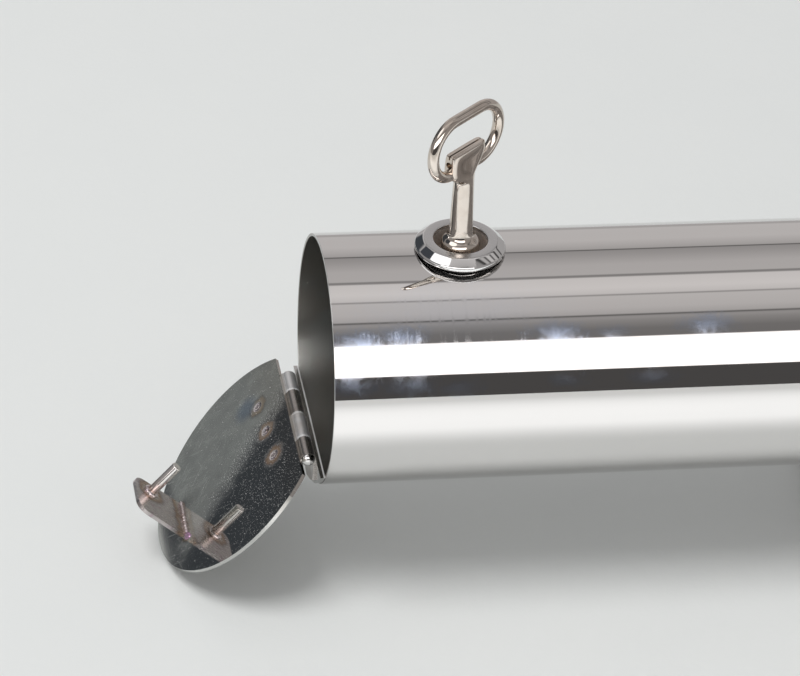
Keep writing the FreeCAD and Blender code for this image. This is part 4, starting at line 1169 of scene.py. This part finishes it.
def make_room():
    """World: pale to the camera, plain soft light, and for the metal a room with a long window and beams."""
    world = bpy.data.worlds.new("room")
    bpy.context.scene.world = world
    world.use_nodes = True
    tree = world.node_tree
    tree.nodes.clear()
    direction = made(tree, "ShaderNodeTexCoord", out="Generated")
    along, across, up = axes_of(direction)
    angle = calc("ARCTAN2", up, times(across, -1.0))
    turn = scale_add(angle, 1 / (2 * math.pi), 0.5)
    room, left, right = (
        ramp(turn, [((degrees + 180) / 360, Vector(ROOM_TINT) * level) for degrees, level in bands])
        for bands in (ROOM_BANDS, LEFT_WALL, RIGHT_WALL)
    )
    for side, span, wall in ((-1.0, LEFT_WALL_SPAN, left), (1.0, RIGHT_WALL_SPAN, right)):
        room = mix(spread(times(along, side), *span), room, wall)
    for middle, span, level in ROOM_PATCHES:
        toward = vector_calc("DOT_PRODUCT", direction, middle, "Value")
        room = mix(spread(toward, *span), room, level)
    ray = add(tree, "ShaderNodeLightPath").outputs
    mirrored = calc("MAXIMUM", ray["Is Glossy Ray"], ray["Is Transmission Ray"])
    light = mix(mirrored, SOFT_LIGHT_LEVEL, room)
    light = mix(ray["Is Camera Ray"], light, BACKGROUND_LEVEL)
    add(tree, "ShaderNodeOutputWorld", {"Surface": made(tree, "ShaderNodeBackground", {"Color": light})})


def make_lamp():
    """Broad soft lamp above the table, which casts the shadow under the tube."""
    light = bpy.data.lights.new("soft_lamp", "AREA")
    light.shape = "DISK"
    light.size = LAMP_SIZE
    light.energy = LAMP_POWER
    lamp = new_object("soft_lamp", light)
    toward = Vector((MOUTH.x, 0, 0)) - LAMP_PLACE
    lamp.matrix_world = Matrix.Translation(LAMP_PLACE) @ toward.to_track_quat("-Z", "Y").to_matrix().to_4x4()
    lamp.visible_glossy = False


def make_table():
    """Plain pale table top under the object."""
    mesh = bpy.data.meshes.new("table")
    corners = [(x * TABLE_HALF_SIZE, y * TABLE_HALF_SIZE, 0) for x, y in SQUARE]
    mesh.from_pydata(corners, [], [(0, 1, 2, 3)])
    table = new_object("table", mesh)
    paint(table, make_table_top())


make_camera()
make_room()
make_lamp()
make_table()
bpy.context.scene.view_settings.view_transform = "Standard"

polished = make_polished_steel()
BRUSHED_STEELS = (
    ("plate_steel", (0.05, 3.0, 3.0), (0.46, 0.455, 0.45), (0.62, 0.615, 0.61), 0.32),
    ("pale_hinge_steel", (2.5, 0.06, 2.5), (0.66, 0.66, 0.66), (0.88, 0.88, 0.88), 0.40, 0.8, knuckle_edge_highlights),
    ("dark_hinge_steel", (2.5, 0.06, 2.5), (0.34, 0.32, 0.30), (0.52, 0.49, 0.47), 0.28, 0.95, knuckle_edge_highlights),
    ("segment_steel", (2.0, 0.05, 2.0), (0.54, 0.54, 0.53), (0.64, 0.63, 0.62), 0.16, 1.0, segment_edge_highlight),
    ("pin_steel", (1.5, 0.1, 1.5), (0.58, 0.57, 0.56), (0.72, 0.71, 0.70), 0.10),
    ("zinc_steel", (1.2, 1.2, 0.2), (0.46, 0.45, 0.42), (0.62, 0.61, 0.58), 0.30),
)
plate_steel, pale_hinge, dark_hinge, segment_steel, pin_steel, zinc_steel = (
    make_brushed_steel(*values) for values in BRUSHED_STEELS
)
weld_steel = make_weld_steel("weld_steel", [
    (0.38, 0.29, 0.27), (0.62, 0.54, 0.53), (0.74, 0.68, 0.68), (0.55, 0.43, 0.50), (0.40, 0.31, 0.26),
])
purple_weld = make_weld_steel("purple_weld", [
    (0.30, 0.20, 0.28), (0.46, 0.28, 0.44), (0.62, 0.44, 0.60), (0.40, 0.24, 0.40), (0.30, 0.20, 0.18),
])
chrome = make_chrome()
nickel = make_nickel()

make_tube(polished, make_bore_steel())
make_lock_housing(chrome)
make_lock_thread(chrome)
make_key_stem(nickel)
make_welds(weld_steel, purple_weld, plate_steel)
make_latch_rod(make_drawn_steel())
make_hinge_rod(pin_steel)

FINISHES = [
    (polished, ["slot_cap"]),
    (make_flap_sheet(), ["flap"]),
    (segment_steel, ["hinge_segment"]),
    (plate_steel, ["wall_plate", "lower_standoff_post", "upper_standoff_post"]),
    (pale_hinge, ["flap_leaf"]),
    (dark_hinge, ["fixed_leaf"]),
    (make_tongue_steel(), ["latch_tongue"]),
    (make_matt("seal_rubber", (0.02, 0.02, 0.02), (0.05, 0.05, 0.05), 0.55), ["lock_gasket"]),
    (make_matt("saddle_plastic", (0.03, 0.03, 0.032), (0.06, 0.06, 0.06), 0.45), ["lock_saddle"]),
    (zinc_steel, ["lock_nut", "lock_spindle", "lock_cam", "cam_washer", "cam_screw"]),
    (nickel, ["key_ring"]),
]
for material, names in FINISHES:
    for name in names:
        paint(nodes[name], material)
